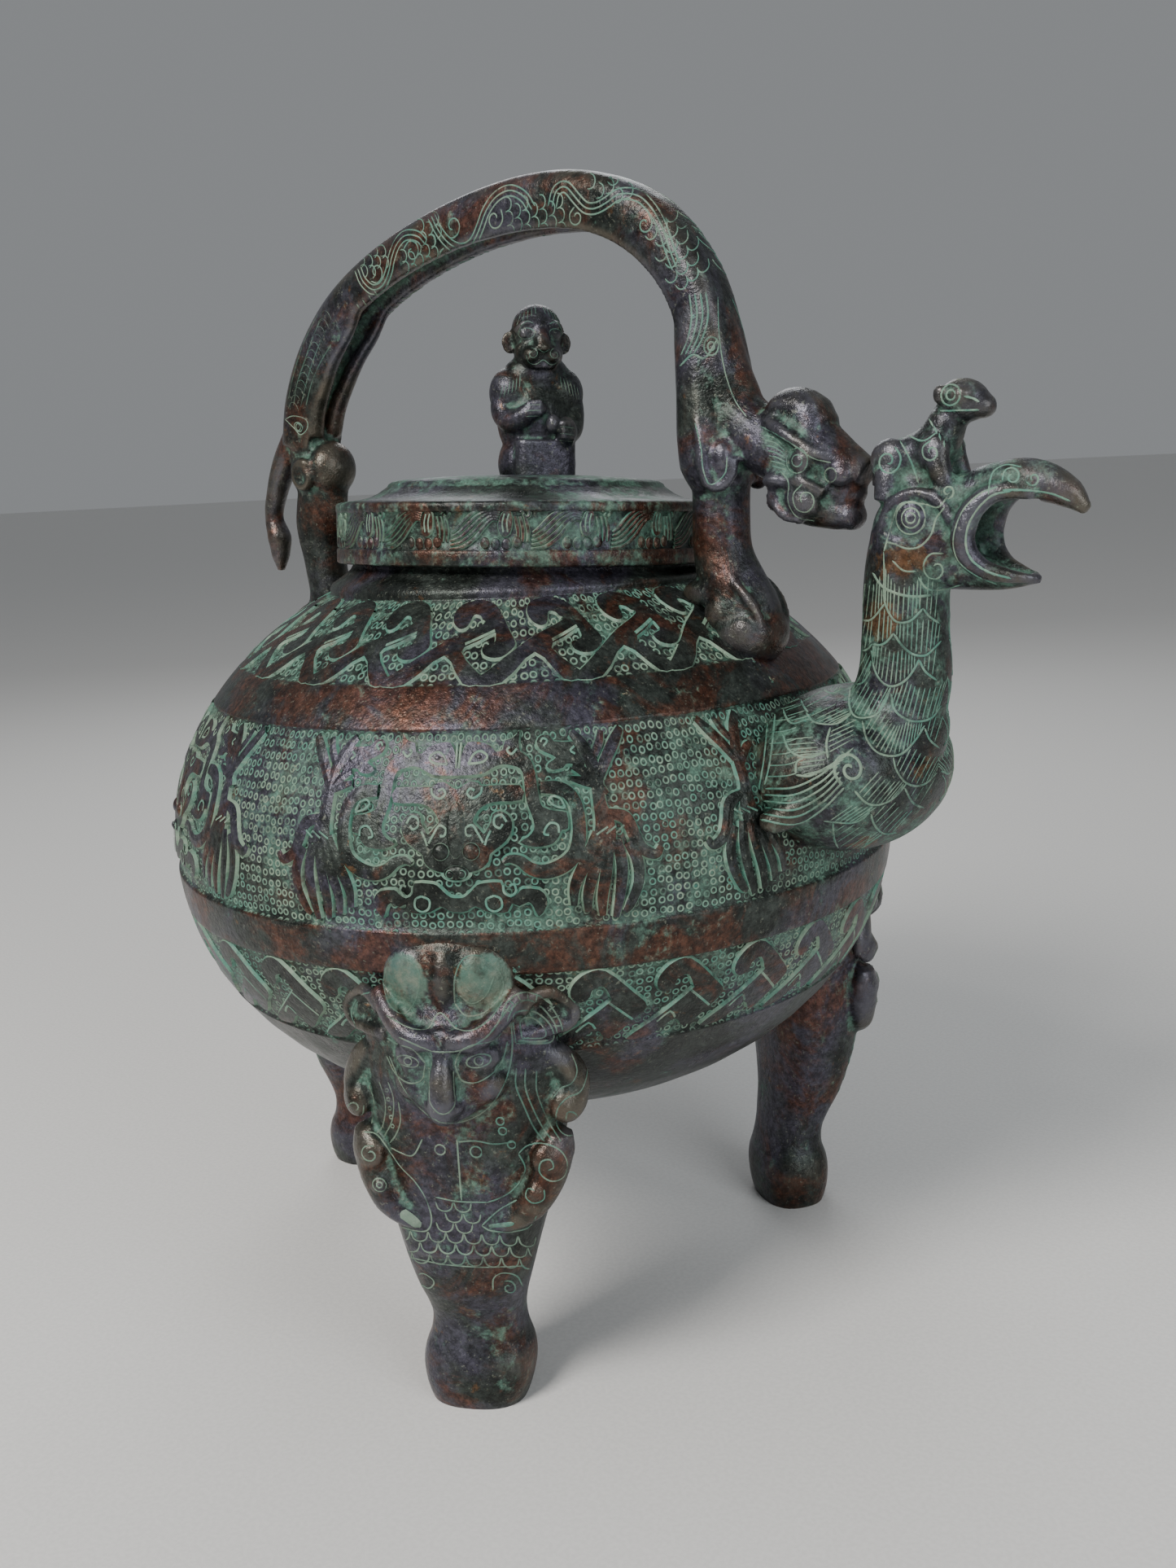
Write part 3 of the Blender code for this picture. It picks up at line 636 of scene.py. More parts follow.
LOWER_UNIT = (
    (0, 91.2), (4.6, 96.6), (9, 102.2), (9.2, 103.6), (8.2, 106.6), (6.7, 106), (6.3, 104.2),
    (5.2, 103.1), (4.2, 103.7), (3.7, 105.5), (4.2, 108), (6, 110.4), (8.5, 110.4), (12.5, 104),
    (14.5, 100), (12.6, 96.6), (9.2, 92), (7.2, 95), (3.8, 91.2),
)
LOWER_LINES = (((9, 102.2), (12.6, 96.8)), ((4.4, 95), (6.2, 97.4), (7.2, 95.4)))
LOWER_COUNT = 30
LOWER_START = -37.5

MASK_TURNS = (-59.5, -119.5, -179.5, 60.5, 120.5)
BIRD_SPREAD = 19.6


def all_round(start, count):
    """Even turns round the axis, in degrees."""
    return [start + k * 360 / count for k in range(count)]


def shoulder_frieze():
    """Hooks side by side between the collar and the upper plain band."""
    carving = Carving((SHOULDER_ARC, 1.0))
    carving.plate(HOOK_UNIT, 0.12, steps=3)
    carving.groove(HOOK_LINE, 0.14, steps=2)
    return carving.repeated(all_round(HOOK_START, HOOK_COUNT), on_bowl, "shoulder_frieze")


def lower_frieze():
    """Interlocked hooks below the lower plain band."""
    carving = Carving((LOWER_ARC, 1.0))
    carving.plate(LOWER_UNIT, 0.05, steps=3)
    for line in LOWER_LINES:
        carving.groove(line, 0.07, steps=2)
    return carving.repeated(all_round(LOWER_START, LOWER_COUNT), on_bowl, "lower_frieze")


def both(points):
    """A mirrored outline: the given right half from top to bottom, then the left half back."""
    return [*points, *[(-a, z) for a, z in reversed(points) if abs(a) > 1e-6]]


def curl(centre, reach, start, turn, half, scale):
    """Stations of a spiral that winds in from its reach in mm; angles are in degrees."""
    flat = spiral((0, 0), reach, start, turn, 0.25, 7)
    return [(centre[0] + x / scale, centre[1] + z, half * (1 - 0.45 * k / 6))
            for k, (x, z) in enumerate(flat)]


def mask_face(carving):
    """The middle of a mask: forehead with its arms, trunk, small head, chin and their curls."""
    forehead = both([(0, 156.2), (0.6, 158.4), (1.3, 160.2), (3, 160.2), (4.6, 159.4), (5.4, 158.2),
                     (6.4, 158.6), (6.7, 160.2), (8, 160.8), (8.9, 162.1), (8.7, 160), (8.9, 158),
                     (9.9, 157), (10.6, 155.2), (10.9, 152), (11.1, 149), (11.5, 147), (13.2, 146),
                     (14.6, 145.6), (14.6, 142.4), (13.8, 142.2), (13.4, 141), (12.6, 139.6),
                     (11.2, 139.1), (9.8, 139.2), (8.3, 140.2), (9.4, 141.2), (10.2, 142.6),
                     (10.2, 144.6), (9.6, 147.4), (9.3, 150), (9.2, 153), (8.8, 154.7), (7.6, 155.4),
                     (6.4, 155.7), (5.2, 155.3), (3.8, 154.2), (2.4, 153.9), (0, 153.8)])
    carving.plate(forehead, 0.12, steps=2)
    face = both([(0, 151.1), (0.9, 151.8), (1.9, 152.6), (3.1, 152.2), (3.6, 151.6), (8.6, 151.5),
                 (8.8, 148.6), (6, 148.5), (4.4, 148.2), (3.2, 147.2), (2.5, 145.8), (2.3, 144.6),
                 (3, 143.4), (3.7, 142.2), (4.2, 143.2), (4.7, 144.6), (4.9, 146), (5.8, 146.6),
                 (6.9, 145.8), (7.4, 144.2), (7.2, 142.2), (6.4, 140.4), (5.2, 139), (4.4, 138),
                 (4.2, 136.6), (3.4, 135.3), (2.3, 134.6), (1.5, 134.4), (0, 134.2)])
    carving.plate(face, 0.3, steps=2)
    chin = both([(0, 129), (0.9, 129.2), (1.8, 130.4), (2.6, 131.7), (3.6, 132.1), (5.6, 132.1),
                 (5.8, 130.2), (6.8, 128.8), (7.8, 129.8), (8.4, 130.6), (10.4, 130.2), (11.3, 128.4),
                 (11.2, 126.4), (10.2, 124.4), (9.6, 126.6), (9, 127.7), (7.8, 126.9), (6.9, 127.5),
                 (6.3, 125.8), (5, 125.6), (3.6, 126), (2.2, 127.2), (1.2, 126.2), (0, 125.9)])
    carving.plate(chin, 0.2, steps=2)
    carving.boss((0, 134.3), (2.8, 1.6), 0.8, foot=0.2)
    carving.boss((0, 143), (2.2, 6), 0.45, foot=0.2, pale=0.05)
    lines = (
        ((1.5, 156), (2.2, 157.8), (3.2, 158.4), (4.2, 157.4), (3.5, 156.3), (1.5, 156)),
        ((0.3, 160.2), (0.25, 158), (0.2, 155.2)), ((8.4, 158.6), (7.6, 157.6), (7, 158.4), (7.4, 159)),
        ((13.4, 141.6), (13.3, 143.2), (12.4, 143.7), (11.7, 142.7), (11.5, 141.6), (12.1, 141.3)),
        ((3.5, 151.4), (3.3, 150.2), (2.3, 149.3), (1.5, 150.2), (1.9, 151.2), (2.5, 150.8)),
        ((3.6, 140.4), (2.9, 142.4), (2.2, 144), (1.3, 143.3), (1.5, 142), (2.1, 141.9)),
        ((4.6, 142.8), (4.1, 141.3), (3.8, 139.9)),
        ((6.7, 144.4), (6.1, 145.8), (5.2, 145.4), (5.1, 143.9), (5.8, 143.2), (6.2, 144)),
        ((4.7, 129.4), (3.7, 128.6), (3.8, 126.8), (4.7, 126), (5.6, 126.9), (5.5, 128.7), (4.7, 129.4)),
        ((5.9, 131.6), (6, 130), (6.8, 129.2), (7.5, 130.2), (7.3, 131.6), (6.7, 131.4)),
    )
    for side in (-1, 1):
        for line in lines:
            rise = 0.34 if line[0][1] < 153 else 0.16
            carving.groove([(side * a, z) for a, z in line], rise, half=0.24, steps=4)
        carving.boss((side * 3, 157.3), (0.8, 0.5), 0.3, foot=0.1, pale=0.4, sides=10)
        carving.boss((side * 2, 138.7), (1.9, 1.8), 1, foot=0.3)
        carving.boss((side * 0.75, 134.1), (0.8, 0.8), 0.5, foot=0.9, sides=10)
        carving.groove(ring((side * 2, 138.7), 1, BELLY_ARC), 0.36, half=0.16)


def mask_half(carving):
    """One side of a mask: the ribbon round it, the scroll above and the comma beside it."""
    carving.bar([(11.4, 150.8, 1.1), (13.4, 150.6, 1.35), (15, 149.4, 1.4), (15.9, 147, 1.45),
                 (16.1, 143.5, 1.45), (15.9, 140, 1.5), (15.2, 137, 1.55), (13.6, 134.9, 1.6),
                 (11.4, 133.9, 1.5), (9.6, 134.6, 1.3), (8.2, 136.4, 1.1), (6.9, 136.9, 0.8),
                 (6, 136.2, 0.4)], 0.12)
    scroll = ((17.4, 159.2), (16.2, 159.3), (13.8, 159.6), (13.2, 160.8), (12, 160.9), (11.3, 159.8),
              (11.7, 158.2), (13, 157.2), (13.8, 156.4), (12.9, 155.6), (12.5, 154.8), (13.3, 154.1),
              (14.7, 154.4), (15.1, 155), (16, 155), (17.2, 153.8), (17.7, 154.6), (18, 156.5),
              (17, 157.6), (17.3, 158.4))
    carving.plate(scroll, 0.1, steps=2)
    carving.bar([(20.3, 148.6, 0.5), (19.4, 150.2, 0.8), (17.4, 151.4, 0.9), (15.6, 152.2, 0.5)], 0.1)
    for line in (((12.2, 158.8), (12.8, 159.8), (12.2, 160.3), (11.8, 159.6)),
                 ((16.6, 158.4), (16, 157.6), (16.6, 156.9)),
                 ((14, 148.4), (14.4, 146.6), (13.2, 147), (12.4, 148.2), (13, 149), (14, 148.4))):
        carving.groove(line, 0.14, half=0.22)


def bird(carving):
    """A standing bird between a mask and the plain field, seen from the mask's side."""
    c = BIRD_SPREAD
    bars = (
        [(-3.2, 161.2, 0.8), (-1.7, 158, 1.2), (-0.6, 153, 1.3), (-0.5, 147, 1.25),
         (-0.1, 142.5, 1.9), (-0.4, 139, 2.2)],
        [(4.2, 161.2, 0.7), (2.8, 158.6, 1.1), (1.2, 155.4, 1.1), (-0.1, 152.2, 1)],
        [(1.2, 161, 0.6), (0.6, 158.6, 0.8), (-0.4, 156.4, 0.8)],
        [(-3.6, 154.6, 0.6), (-2.4, 153.6, 0.9), (-1, 151.4, 0.9)],
        [(0.4, 144.8, 0.8), (2.7, 143.4, 1.2), (3.6, 139.8, 1.2), (4.5, 136.8, 1.1),
         (6.2, 135.3, 0.9), (7.1, 136.8, 0.6)],
        [(-1.2, 141, 1), (-3, 135.5, 1.2), (-4.6, 130.5, 1), (-4.9, 126.2, 0.6)],
        [(-0.6, 139.5, 1), (-1.9, 134, 1.1), (-3, 128.6, 1), (-3.1, 124.6, 0.6)],
        [(0.2, 139, 1), (-0.5, 133, 1.1), (-1.2, 127.6, 1), (-1.3, 123.4, 0.6)],
        [(1.2, 139.2, 1), (1.6, 134, 1.1), (1.2, 128.6, 1), (0.4, 122.8, 0.6)],
        [(2.6, 138.4, 0.8), (3.7, 134.4, 1.1), (3.6, 129.8, 1), (2.4, 125.4, 0.9),
         (1.6, 123.8, 0.5)],
    )
    for stations in bars:
        carving.bar([(c + a, z, h * 1.15) for a, z, h in stations], 0.12)
    for k in range(3):
        carving.groove(((c - 1.4 + 1.3 * k, 140.6), (c + 0.2 + 1.1 * k, 142)), 0.34, half=0.2)


def mask_frieze():
    """The five masks and their birds; the sixth place is under the spout."""
    made = []
    for draw, name, turns, mirror in (
            (mask_face, "mask_faces", MASK_TURNS, False), (mask_half, "mask_frames", MASK_TURNS, True),
            (bird, "frieze_birds", (*MASK_TURNS, 0.5), True)):
        carving = Carving((BELLY_ARC, 1.0))
        draw(carving)
        made.append(carving.repeated(turns, on_bowl, name, mirror))
    return made


def bowl_section():
    """The bowl's wall from the outside of the bottom, up over the mouth, and back down inside."""
    outside = []
    for k in range(16):
        share = math.sin(0.5 * math.pi * (1 - k / 16)) ** (2 / BOTTOM_POWER)
        z = BELLY_HEIGHT - BOTTOM_DROP * share
        if z < RING_BASE - 1:
            outside.append((float(belly(z)), z))
    outside[0] = (0.0, BELLY_HEIGHT - BOTTOM_DROP)

    def rising(low, high, count, drop):
        return [(float(belly(z)) - drop, z) for z in np.linspace(low, high, count)]

    outside += [(float(belly(89.2)), 89.2), (float(belly(89.9)) + 0.1, 89.9)]
    outside += rising(90.4, 110.8, 9, SINK)
    for line, low, high, count, drop in (
            (111.2, 111.8, 120.4, 5, 0), (121.0, 121.4, 162.1, 18, SINK), (162.5, 163.1, 170.4, 5, 0),
            (171.0, 171.4, 187.5, 9, SINK)):
        outside += [(float(belly(line)) - 0.1, line)] + rising(low, high, count, drop)
    edge = float(belly(RING_SHOULDER))
    outside += [(edge + 0.2, 187.9), (edge + 0.5, 188.5), (edge + 0.1, 189.3)]
    outside += [(COLLAR_RADIUS + 2.4, 190.3), (COLLAR_RADIUS + 0.5, 191.4), (COLLAR_RADIUS, 192.2),
                (COLLAR_RADIUS, 198.4), (COLLAR_RADIUS - 0.5, COLLAR_TOP)]
    inside = [(MOUTH_RADIUS + 0.4, COLLAR_TOP), (MOUTH_RADIUS, 198.5), (MOUTH_RADIUS, 191.0)]
    for z in (188.5, 185, 180, 174, 166, 157, 147, 136, 125, 113, 101, 90, 80, 71, 64, 58.5, 55.6):
        rise = (z - BELLY_HEIGHT) * (SHOULDER_RISE / (SHOULDER_RISE - WALL))
        inside.append((max(float(belly(BELLY_HEIGHT + rise)) - WALL, 0.0), z))
    return outside + inside + [(0.0, BELLY_HEIGHT - BOTTOM_DROP + WALL)]


# Friezes with punched rings, as (lowest, highest, rings round, height of a row)
RING_ZONES = ((90.2, 111.0, 264, 2.15), (121.2, 162.3, 288, 2.25), (171.2, 187.7, 200, 2.0))


def punched_map(obj):
    """A map whose whole numbers count the punched rings round and up each frieze."""
    layer = obj.data.uv_layers.new(name="rings")
    co = points_of(obj)
    loops = np.empty(len(obj.data.loops), int)
    obj.data.loops.foreach_get("vertex_index", loops)
    uv = np.zeros((len(loops), 2))
    angle = np.degrees(np.arctan2(co[:, 1], co[:, 0])) % 360
    for polygon in obj.data.polygons:
        at = slice(polygon.loop_start, polygon.loop_start + polygon.loop_total)
        own = loops[at]
        a = angle[own].copy()
        if a.max() - a.min() > 180:
            a[a < 180] += 360
        z = co[own, 2].mean()
        for low, high, count, pitch in RING_ZONES:
            if low - 1 < z < high + 1:
                uv[at] = np.column_stack([a * count / 360, (co[own, 2] - low - 0.4) / pitch])
    layer.data.foreach_set("uv", uv.ravel())


def bowl():
    """The hollow bowl with its collar, flagged where the ground and the plain bands are."""
    obj = spun("bowl", bowl_section(), 288)
    bored(obj, [(72, 0, 147, CHANNEL_RADIUS), (102, 0, 147, CHANNEL_RADIUS)])
    set_points(obj, lean(points_of(obj)))
    co = points_of(obj)
    z = co[:, 2]
    radius = np.hypot(co[:, 0], co[:, 1])
    outside = radius > belly(z) - 1.6
    for name, zones in (("ground", RING_ZONES), ("plate", PLAIN_BANDS)):
        mark(obj, name, outside & np.any([(z > zone[0]) & (z < zone[1]) for zone in zones], axis=0))
    punched_map(obj)
    return obj


def lid_section():
    """From the knob's place down to the rim, then up inside: skirt, flange and hollow."""
    rest = COLLAR_TOP + 0.3
    r = LID_RADIUS
    return [
        (0.0, LID_TOP), (10, LID_TOP - 0.1), (20, LID_TOP - 0.35), (28, LID_TOP - 0.8),
        (33, LID_TOP - 1.3), (34.9, LID_TOP - 1.7), (35.9, LID_TOP - 2.3), (36.3, LID_TOP - 3.0),
        (37.2, 211.4), (38.8, 210.3), (41, 209.3), (43.5, 208.7), (46, 208.4), (48.2, 208.1),
        (r - 0.3, 207.7), (r, 207.2), (r, 205.9), (r - 0.2, 205.5),
        *[(r - LID_RECESS, z) for z in (205.3, 202.5, 199.5, 196.8)], (r - 0.15, 196.5), (r, 196.1),
        (r, 193.2), (r - 0.4, LID_BOTTOM), (r - 2.6, LID_BOTTOM), (r - 2.6, rest), (42.2, rest),
        (42.2, 194.5), (39.8, 194.5), (39.8, 205.1), (33.0, 210.6), (20, 211.9), (0.0, 212.2),
    ]


def lid():
    """The loose lid, flagged where its rim, side and top are."""
    obj = spun("lid", lid_section(), 240)
    co = points_of(obj)
    radius = np.hypot(co[:, 0], co[:, 1])
    outside = (co[:, 2] > 208.2) | (radius > 48.3)
    mark(obj, "plate", (radius > LID_RADIUS - 0.5) & outside)
    mark(obj, "ground", np.zeros(len(co)))
    side = (radius > 48.3) & (co[:, 2] > 196.9) & (co[:, 2] < 205.4)
    mark(obj, "hollow", np.where(side, 0.3, np.where((radius < 37) & (co[:, 2] > 210), 0.4, 0.0)))
    set_points(obj, lean(co))
    return obj


def between(low, high, share):
    """A row of points part of the way from one row to another."""
    return [tuple(np.array(a) * (1 - share) + np.array(b) * share) for a, b in zip(low, high)]


def lid_band():
    """Bundles of flowing ribbons, with leaves, combs and rounded lobes between, round the lid's side."""
    carving = Carving((LID_ARC, 1.0))
    low = ((-15.6, 196.9, 0.2), (-12.0, 197.4, 0.36), (-8.4, 199.4, 0.38), (-5.8, 202.0, 0.38),
           (-3.6, 203.7, 0.36), (-1.9, 203.5, 0.2))
    high = ((-15.0, 200.6, 0.2), (-13.0, 201.9, 0.36), (-10.4, 204.1, 0.38), (-7.8, 205.6, 0.38),
            (-4.4, 206.3, 0.36), (-1.2, 205.6, 0.2))
    for k in range(5):
        carving.bar(between(low, high, k / 4), 0.5, foot=BAND_FOOT, edge=0.2, crown=0.08, steps=4)
    for k, height in enumerate((198.3, 198.1, 198.1, 198.5)):
        carving.boss((-5.6 + 2.9 * k, height), (1.2, 1.5), 0.65, pale=0.22, sides=14)
    carving.plate(((-1.2, 200.2), (-1.9, 202.4), (-1.0, 204.8), (0.9, 206.0), (1.7, 205.0), (1.9, 202.9),
                   (1.3, 200.7), (0.1, 199.8)), 0.5, foot=BAND_FOOT, edge=0.25, steps=3)
    for shift in (-0.5, 0.7):
        carving.groove(((shift, 200.8), (shift - 0.2, 203.0), (shift + 0.4, 205.0)), 0.52, half=0.18)
    for k in range(3):
        carving.bar([(3.3 + 1.35 * k, 198.6, 0.2), (3.5 + 1.35 * k, 200.8, 0.32),
                     (3.1 + 1.35 * k, 203.0, 0.32), (2.7 + 1.3 * k, 204.4, 0.2)],
                    0.46, foot=BAND_FOOT, edge=0.2, crown=0.08, steps=3)
    carving.bar(curl((5.6, 204.9), 1.35, 160, -380, 0.36, LID_ARC), 0.46, foot=BAND_FOOT, edge=0.2, steps=3)
    obj = carving.repeated(all_round(-55.0, 16), on_lid, "lid_band")
    set_points(obj, lean(points_of(obj)))
    return obj


# Lines drawn on the cast beasts

def spiral(centre, reach, start, turn, inner=0.25, count=9):
    """A flat line that winds in to its centre; angles are in degrees."""
    rows = []
    for k in range(count):
        share = k / (count - 1)
        r = reach * (1 - share * (1 - inner))
        angle = math.radians(start + turn * share)
        rows.append((centre[0] + r * math.cos(angle), centre[1] + r * math.sin(angle)))
    return rows


def ring(centre, reach, squash=1.0, turn=0.0):
    """A closed round or oval line; turn is in degrees."""
    c, s = math.cos(math.radians(turn)), math.sin(math.radians(turn))
    rows = []
    for k in range(13):
        x = reach * math.cos(k * math.pi / 6)
        y = reach * squash * math.sin(k * math.pi / 6)
        rows.append((centre[0] + x * c - y * s, centre[1] + x * s + y * c))
    return rows


def evenly(line, step):
    """The same flat line with points at an even step."""
    p = np.asarray(line, float)
    reach = np.concatenate([[0], np.cumsum(np.linalg.norm(np.diff(p, axis=0), axis=1))])
    at = np.linspace(0, reach[-1], max(int(reach[-1] / step) + 1, 2))
    return np.column_stack([np.interp(at, reach, p[:, 0]), np.interp(at, reach, p[:, 1])])


def beside(line, gap):
    """A line that keeps a gap to the left of the given one."""
    row = evenly(flowing(line, 4), 1.2)
    along = np.gradient(row, axis=0)
    along /= np.maximum(np.linalg.norm(along, axis=1), 1e-9)[:, None]
    return row + gap * np.stack([-along[:, 1], along[:, 0]], -1)


class Tracing:
    """Carries flat strokes onto a cast skin along lines of sight, as slightly raised pale threads."""

    def __init__(self, piece, sight):
        self.tree = BVHTree.FromPolygons(
            [Vector(p) for p in points_of(piece)], [tuple(f.vertices) for f in piece.data.polygons])
        self.sight = sight
        self.points = []
        self.faces = []
        self.sizes = []
        self.pales = []

    def stroke(self, line, half=0.24, lift=0.10, mirror=False, smooth=True, keep=None, pale=1.0):
        """Carry one line over, parted where the skin breaks off or keep says no."""
        row = evenly(flowing(line, 5) if smooth and len(line) > 2 else line, STROKE_STEP)
        run = []
        for x, z in row:
            start, way = self.sight(x, z)
            place, normal, *_ = self.tree.ray_cast(start, way)
            kept = place is not None and (keep is None or keep(place))
            if not kept or (run and (place - run[-1][0]).length > STROKE_GAP):
                self.thread(run, half, lift, mirror, pale)
                run = []
            if kept:
                run.append((place, normal))
        self.thread(run, half, lift, mirror, pale)

    def thread(self, run, half, lift, mirror, pale):
        """Lay one unbroken run of (place, normal) as a thread, and its mirror image too where asked."""
        if len(run) < 3:
            return
        place = np.array([tuple(p) for p, n in run])
        normal = np.array([tuple(n) for p, n in run])
        for _ in range(3):
            padded = np.vstack([normal[:1], normal, normal[-1:]])
            normal = padded[:-2] + padded[1:-1] * 2 + padded[2:]
            normal /= np.linalg.norm(normal, axis=1)[:, None]
        along = np.gradient(place, axis=0)
        side = np.cross(normal, along)
        side /= np.maximum(np.linalg.norm(side, axis=1), 1e-9)[:, None]
        half *= bpy.context.scene.he_sizes.line_width / LINE_WIDTH
        width = np.full((len(run), 1), half)
        width[0] = width[-1] = half * THREAD_END
        points = np.vstack([place + side * width - normal * THREAD_SINK, place + normal * lift,
                            place - side * width - normal * THREAD_SINK])
        faces = ribbon_faces(len(run))
        self.lay(points, faces, pale)
        if mirror:
            self.lay(points * (1, -1, 1), [face[::-1] for face in faces], pale)

    def lay(self, points, faces, pale):
        start = sum(self.sizes)
        self.points.append(points)
        self.faces += [tuple(i + start for i in face) for face in faces]
        self.sizes.append(len(points))
        self.pales += [pale] * len(points)

    def finished(self, name, pale=1.0):
        points = np.vstack(self.points)
        obj = mesh_object(name, points, self.faces)
        mark(obj, "line", np.array(self.pales) * pale)
        return obj


def from_eye(plane_y):
    """Lines of sight from the camera through points (x, z) of an upright plane."""
    def sight(x, z):
        return EYE, (Vector((x, plane_y, z)) - EYE).normalized()
    return sight


def near_side(place):
    """Whether a place is on the photo's side of the middle plane."""
    return place.y < 0.4


# The cast beasts

def leg_core():
    """The leg's plain body, from (height, inner radius, outer radius, half width) sections."""
    sections = (
        (-4, 65.5, 80.5, 10), (2, 63.5, 83, 12.4), (8, 62.8, 83.8, 13.6),
        (12.5, 63, 83.6, 13.2), (17, 64.2, 82.3, 11.7), (22, 65.2, 82.8, 11.2),
        (27, 65.8, 85.2, 12), (33, 66.5, 88.5, 13.6), (44, 66.5, 92, 16.4),
        (58, 66.5, 94.5, 20), (72, 70, 96, 22.6), (84, 77, 97.5, 24),
        (96, 84, 97.5, 21.5), (107, 88, 96.8, 15), (119, 90, 95.5, 6),
    )
    rows = flowing(sections, 4)
    rings = []
    for z, inner, outer, half in rows:
        middle, deep = (inner + outer) / 2, (outer - inner) / 2
        angle = np.arange(28) * 2 * math.pi / 28
        c, s = np.cos(angle), np.sin(angle)
        rings.append(np.column_stack([middle + deep * np.sign(c) * np.abs(c) ** 0.8,
                                      half * np.sign(s) * np.abs(s) ** 0.8, np.full(28, z)]))
    return lofted("leg_core", rings)


def lofted(name, rings):
    """A closed skin over a row of rings of points, with a fan at each end."""
    count = len(rings[0])
    points = np.vstack(rings)
    faces = []
    for k in range(len(rings) - 1):
        a, b = k * count, (k + 1) * count
        faces += [(a + i, a + (i + 1) % count, b + (i + 1) % count, b + i) for i in range(count)]
    faces.append(tuple(range(count))[::-1])
    faces.append(tuple((len(rings) - 1) * count + i for i in range(count)))
    return whole_mesh(
        mesh_object(name, points, faces), (bpy.ops.mesh.normals_make_consistent, {"inside": False}))


def leg_pattern():
    """The common leg along +X: horned beast mask, side scrolls, two bird heads and the foot."""
    shapes = [
        leg_core(),
        blob((90, 0, 95), (11.5, 15.5, 15.5)),
        blob((91.5, 0, 87), (11, 12, 8.5)),
        # Nose, brows, eyes, cheeks and the jaw that runs to a point
        rod([(99.2, 0, 101, 2.6), (101.8, 0, 95, 2.2), (103.6, 0, 88, 3), (103, 0, 84.4, 3.2),
             (100, 0, 81.2, 2.2)]),
        *pair((101.6, 2.7, 84.6), (2.2, 1.9, 2)),
        *rod_pair([(100.9, 1.5, 98.8, 2.5), (100.9, 7, 99.6, 2.9), (98.6, 12.5, 103.4, 2.5),
                   (95.8, 16.3, 108, 1.8)]),
        *pair((99.4, 7.8, 93.8), (2.2, 3.8, 1.9), (0, 0, 18)),
        *rod_pair([(101, 3.2, 92.6, 0.8), (101.2, 6.5, 95.8, 0.8), (99, 11.5, 95.8, 0.8)]),
        *rod_pair([(101, 3.4, 91.6, 0.7), (100.8, 7, 90.8, 0.8), (98.6, 11.6, 94.4, 0.8)]),
        *pair((97.2, 7.4, 88), (4, 5.2, 4.6)),
        *rod_pair([(100.2, 0.6, 80.8, 1.3), (98.6, 5.6, 83.2, 1.4), (96.4, 10.8, 88.4, 1.3),
                   (94.8, 14.6, 94.4, 1.2)]),
        # Forehead and the two leaf ears above the brow
        blob((95.4, 0, 109), (3.6, 4, 9)),
        blob((93.8, 0, 110), (3.8, 15, 10)),
        *pair((95, 8.6, 110.4), (3, 6.8, 7.8), (0, 0, 14)),
        # Side ears, long locks and the scrolls at their ends
        *rod_pair([(96, 15.5, 103, 1.7), (94.5, 19.5, 106.5, 1.6), (92.6, 24.5, 104, 1.6),
                   (92, 25.6, 99, 1.6), (94, 20, 97.6, 1.6), (96, 15, 97.6, 1.5)]),
        *pair((91.5, 20.5, 101), (2.4, 4.5, 3.2)),
        *rod_pair([(92.6, 15, 93, 2.8), (91.6, 21.5, 90.5, 3.2), (91.4, 25.4, 84, 3.2),
                   (91.4, 25.4, 78.4, 2.8)]),
        *pair((92.4, 24.4, 80), (3.6, 3.9, 4.6)),
        *pair((94.4, 25, 80), (2.4, 1.6, 2)),
        # Bird heads that hang at the knees, beaks to the middle
        *rod_pair([(92, 23, 73.5, 2.6), (91.6, 21.8, 69.5, 4.2), (90.5, 19.4, 62.5, 4.6),
                   (90.6, 16.2, 57, 4.2), (91.4, 11.4, 53.2, 2.6), (91.8, 8.2, 52.4, 1.2)]),
        *pair((93.6, 20.6, 68.4), (2.6, 3.9, 4)),
        *pair((94.8, 18, 61.4), (1.3, 1.7, 1.7)),
        rod([(88, -13, 45, 1), (91.2, -7, 45.1, 1.1), (92, 0, 45.2, 1.2), (91.2, 7, 45.1, 1.1),
             (88, 13, 45, 1)]),
    ]
    obj = weathered(cut_below(melted(shapes, "leg_pattern", 0.8, 2), 0))
    co = points_of(obj)
    # The leaves of the ears are filled
    ear = ((np.abs(co[:, 1]) - 8.8) / 5.4) ** 2 + ((co[:, 2] - 110.6) / 6.2) ** 2
    mark(obj, "line", np.where((ear < 1) & (co[:, 0] > 94), 0.5, 0))
    return obj


def leg_moves(co, mask, foot_azimuth, foot_radius):
    """A leg's turn, and the shift of each of its points that carries the foot into place."""
    turn, aim = math.radians(mask), math.radians(foot_azimuth)
    spin = np.array([[math.cos(turn), -math.sin(turn)], [math.sin(turn), math.cos(turn)]])
    carry = foot_radius * np.array([math.cos(aim), math.sin(aim)]) - spin @ np.array([FOOT_RADIUS, 0.0])
    return spin, carry * np.maximum(1 - co[:, 2:3] / HIP_HEIGHT, 0)


def hip_bend(co):
    """How far the hip is drawn in, so that it follows the round bowl."""
    return np.clip((co[:, 2] - BEND_FOOT) / BEND_RISE, 0, 1) * co[:, 1] ** 2 / (2 * HIP_BEND)


def leg_stance(co, *stance):
    """Bend the hip round the bowl, turn the leg to its mask and carry its foot into place."""
    co = np.array(co, float)
    spin, shift = leg_moves(co, *stance)
    co[:, 0] -= hip_bend(co)
    co[:, :2] = co[:, :2] @ spin.T + shift
    return co


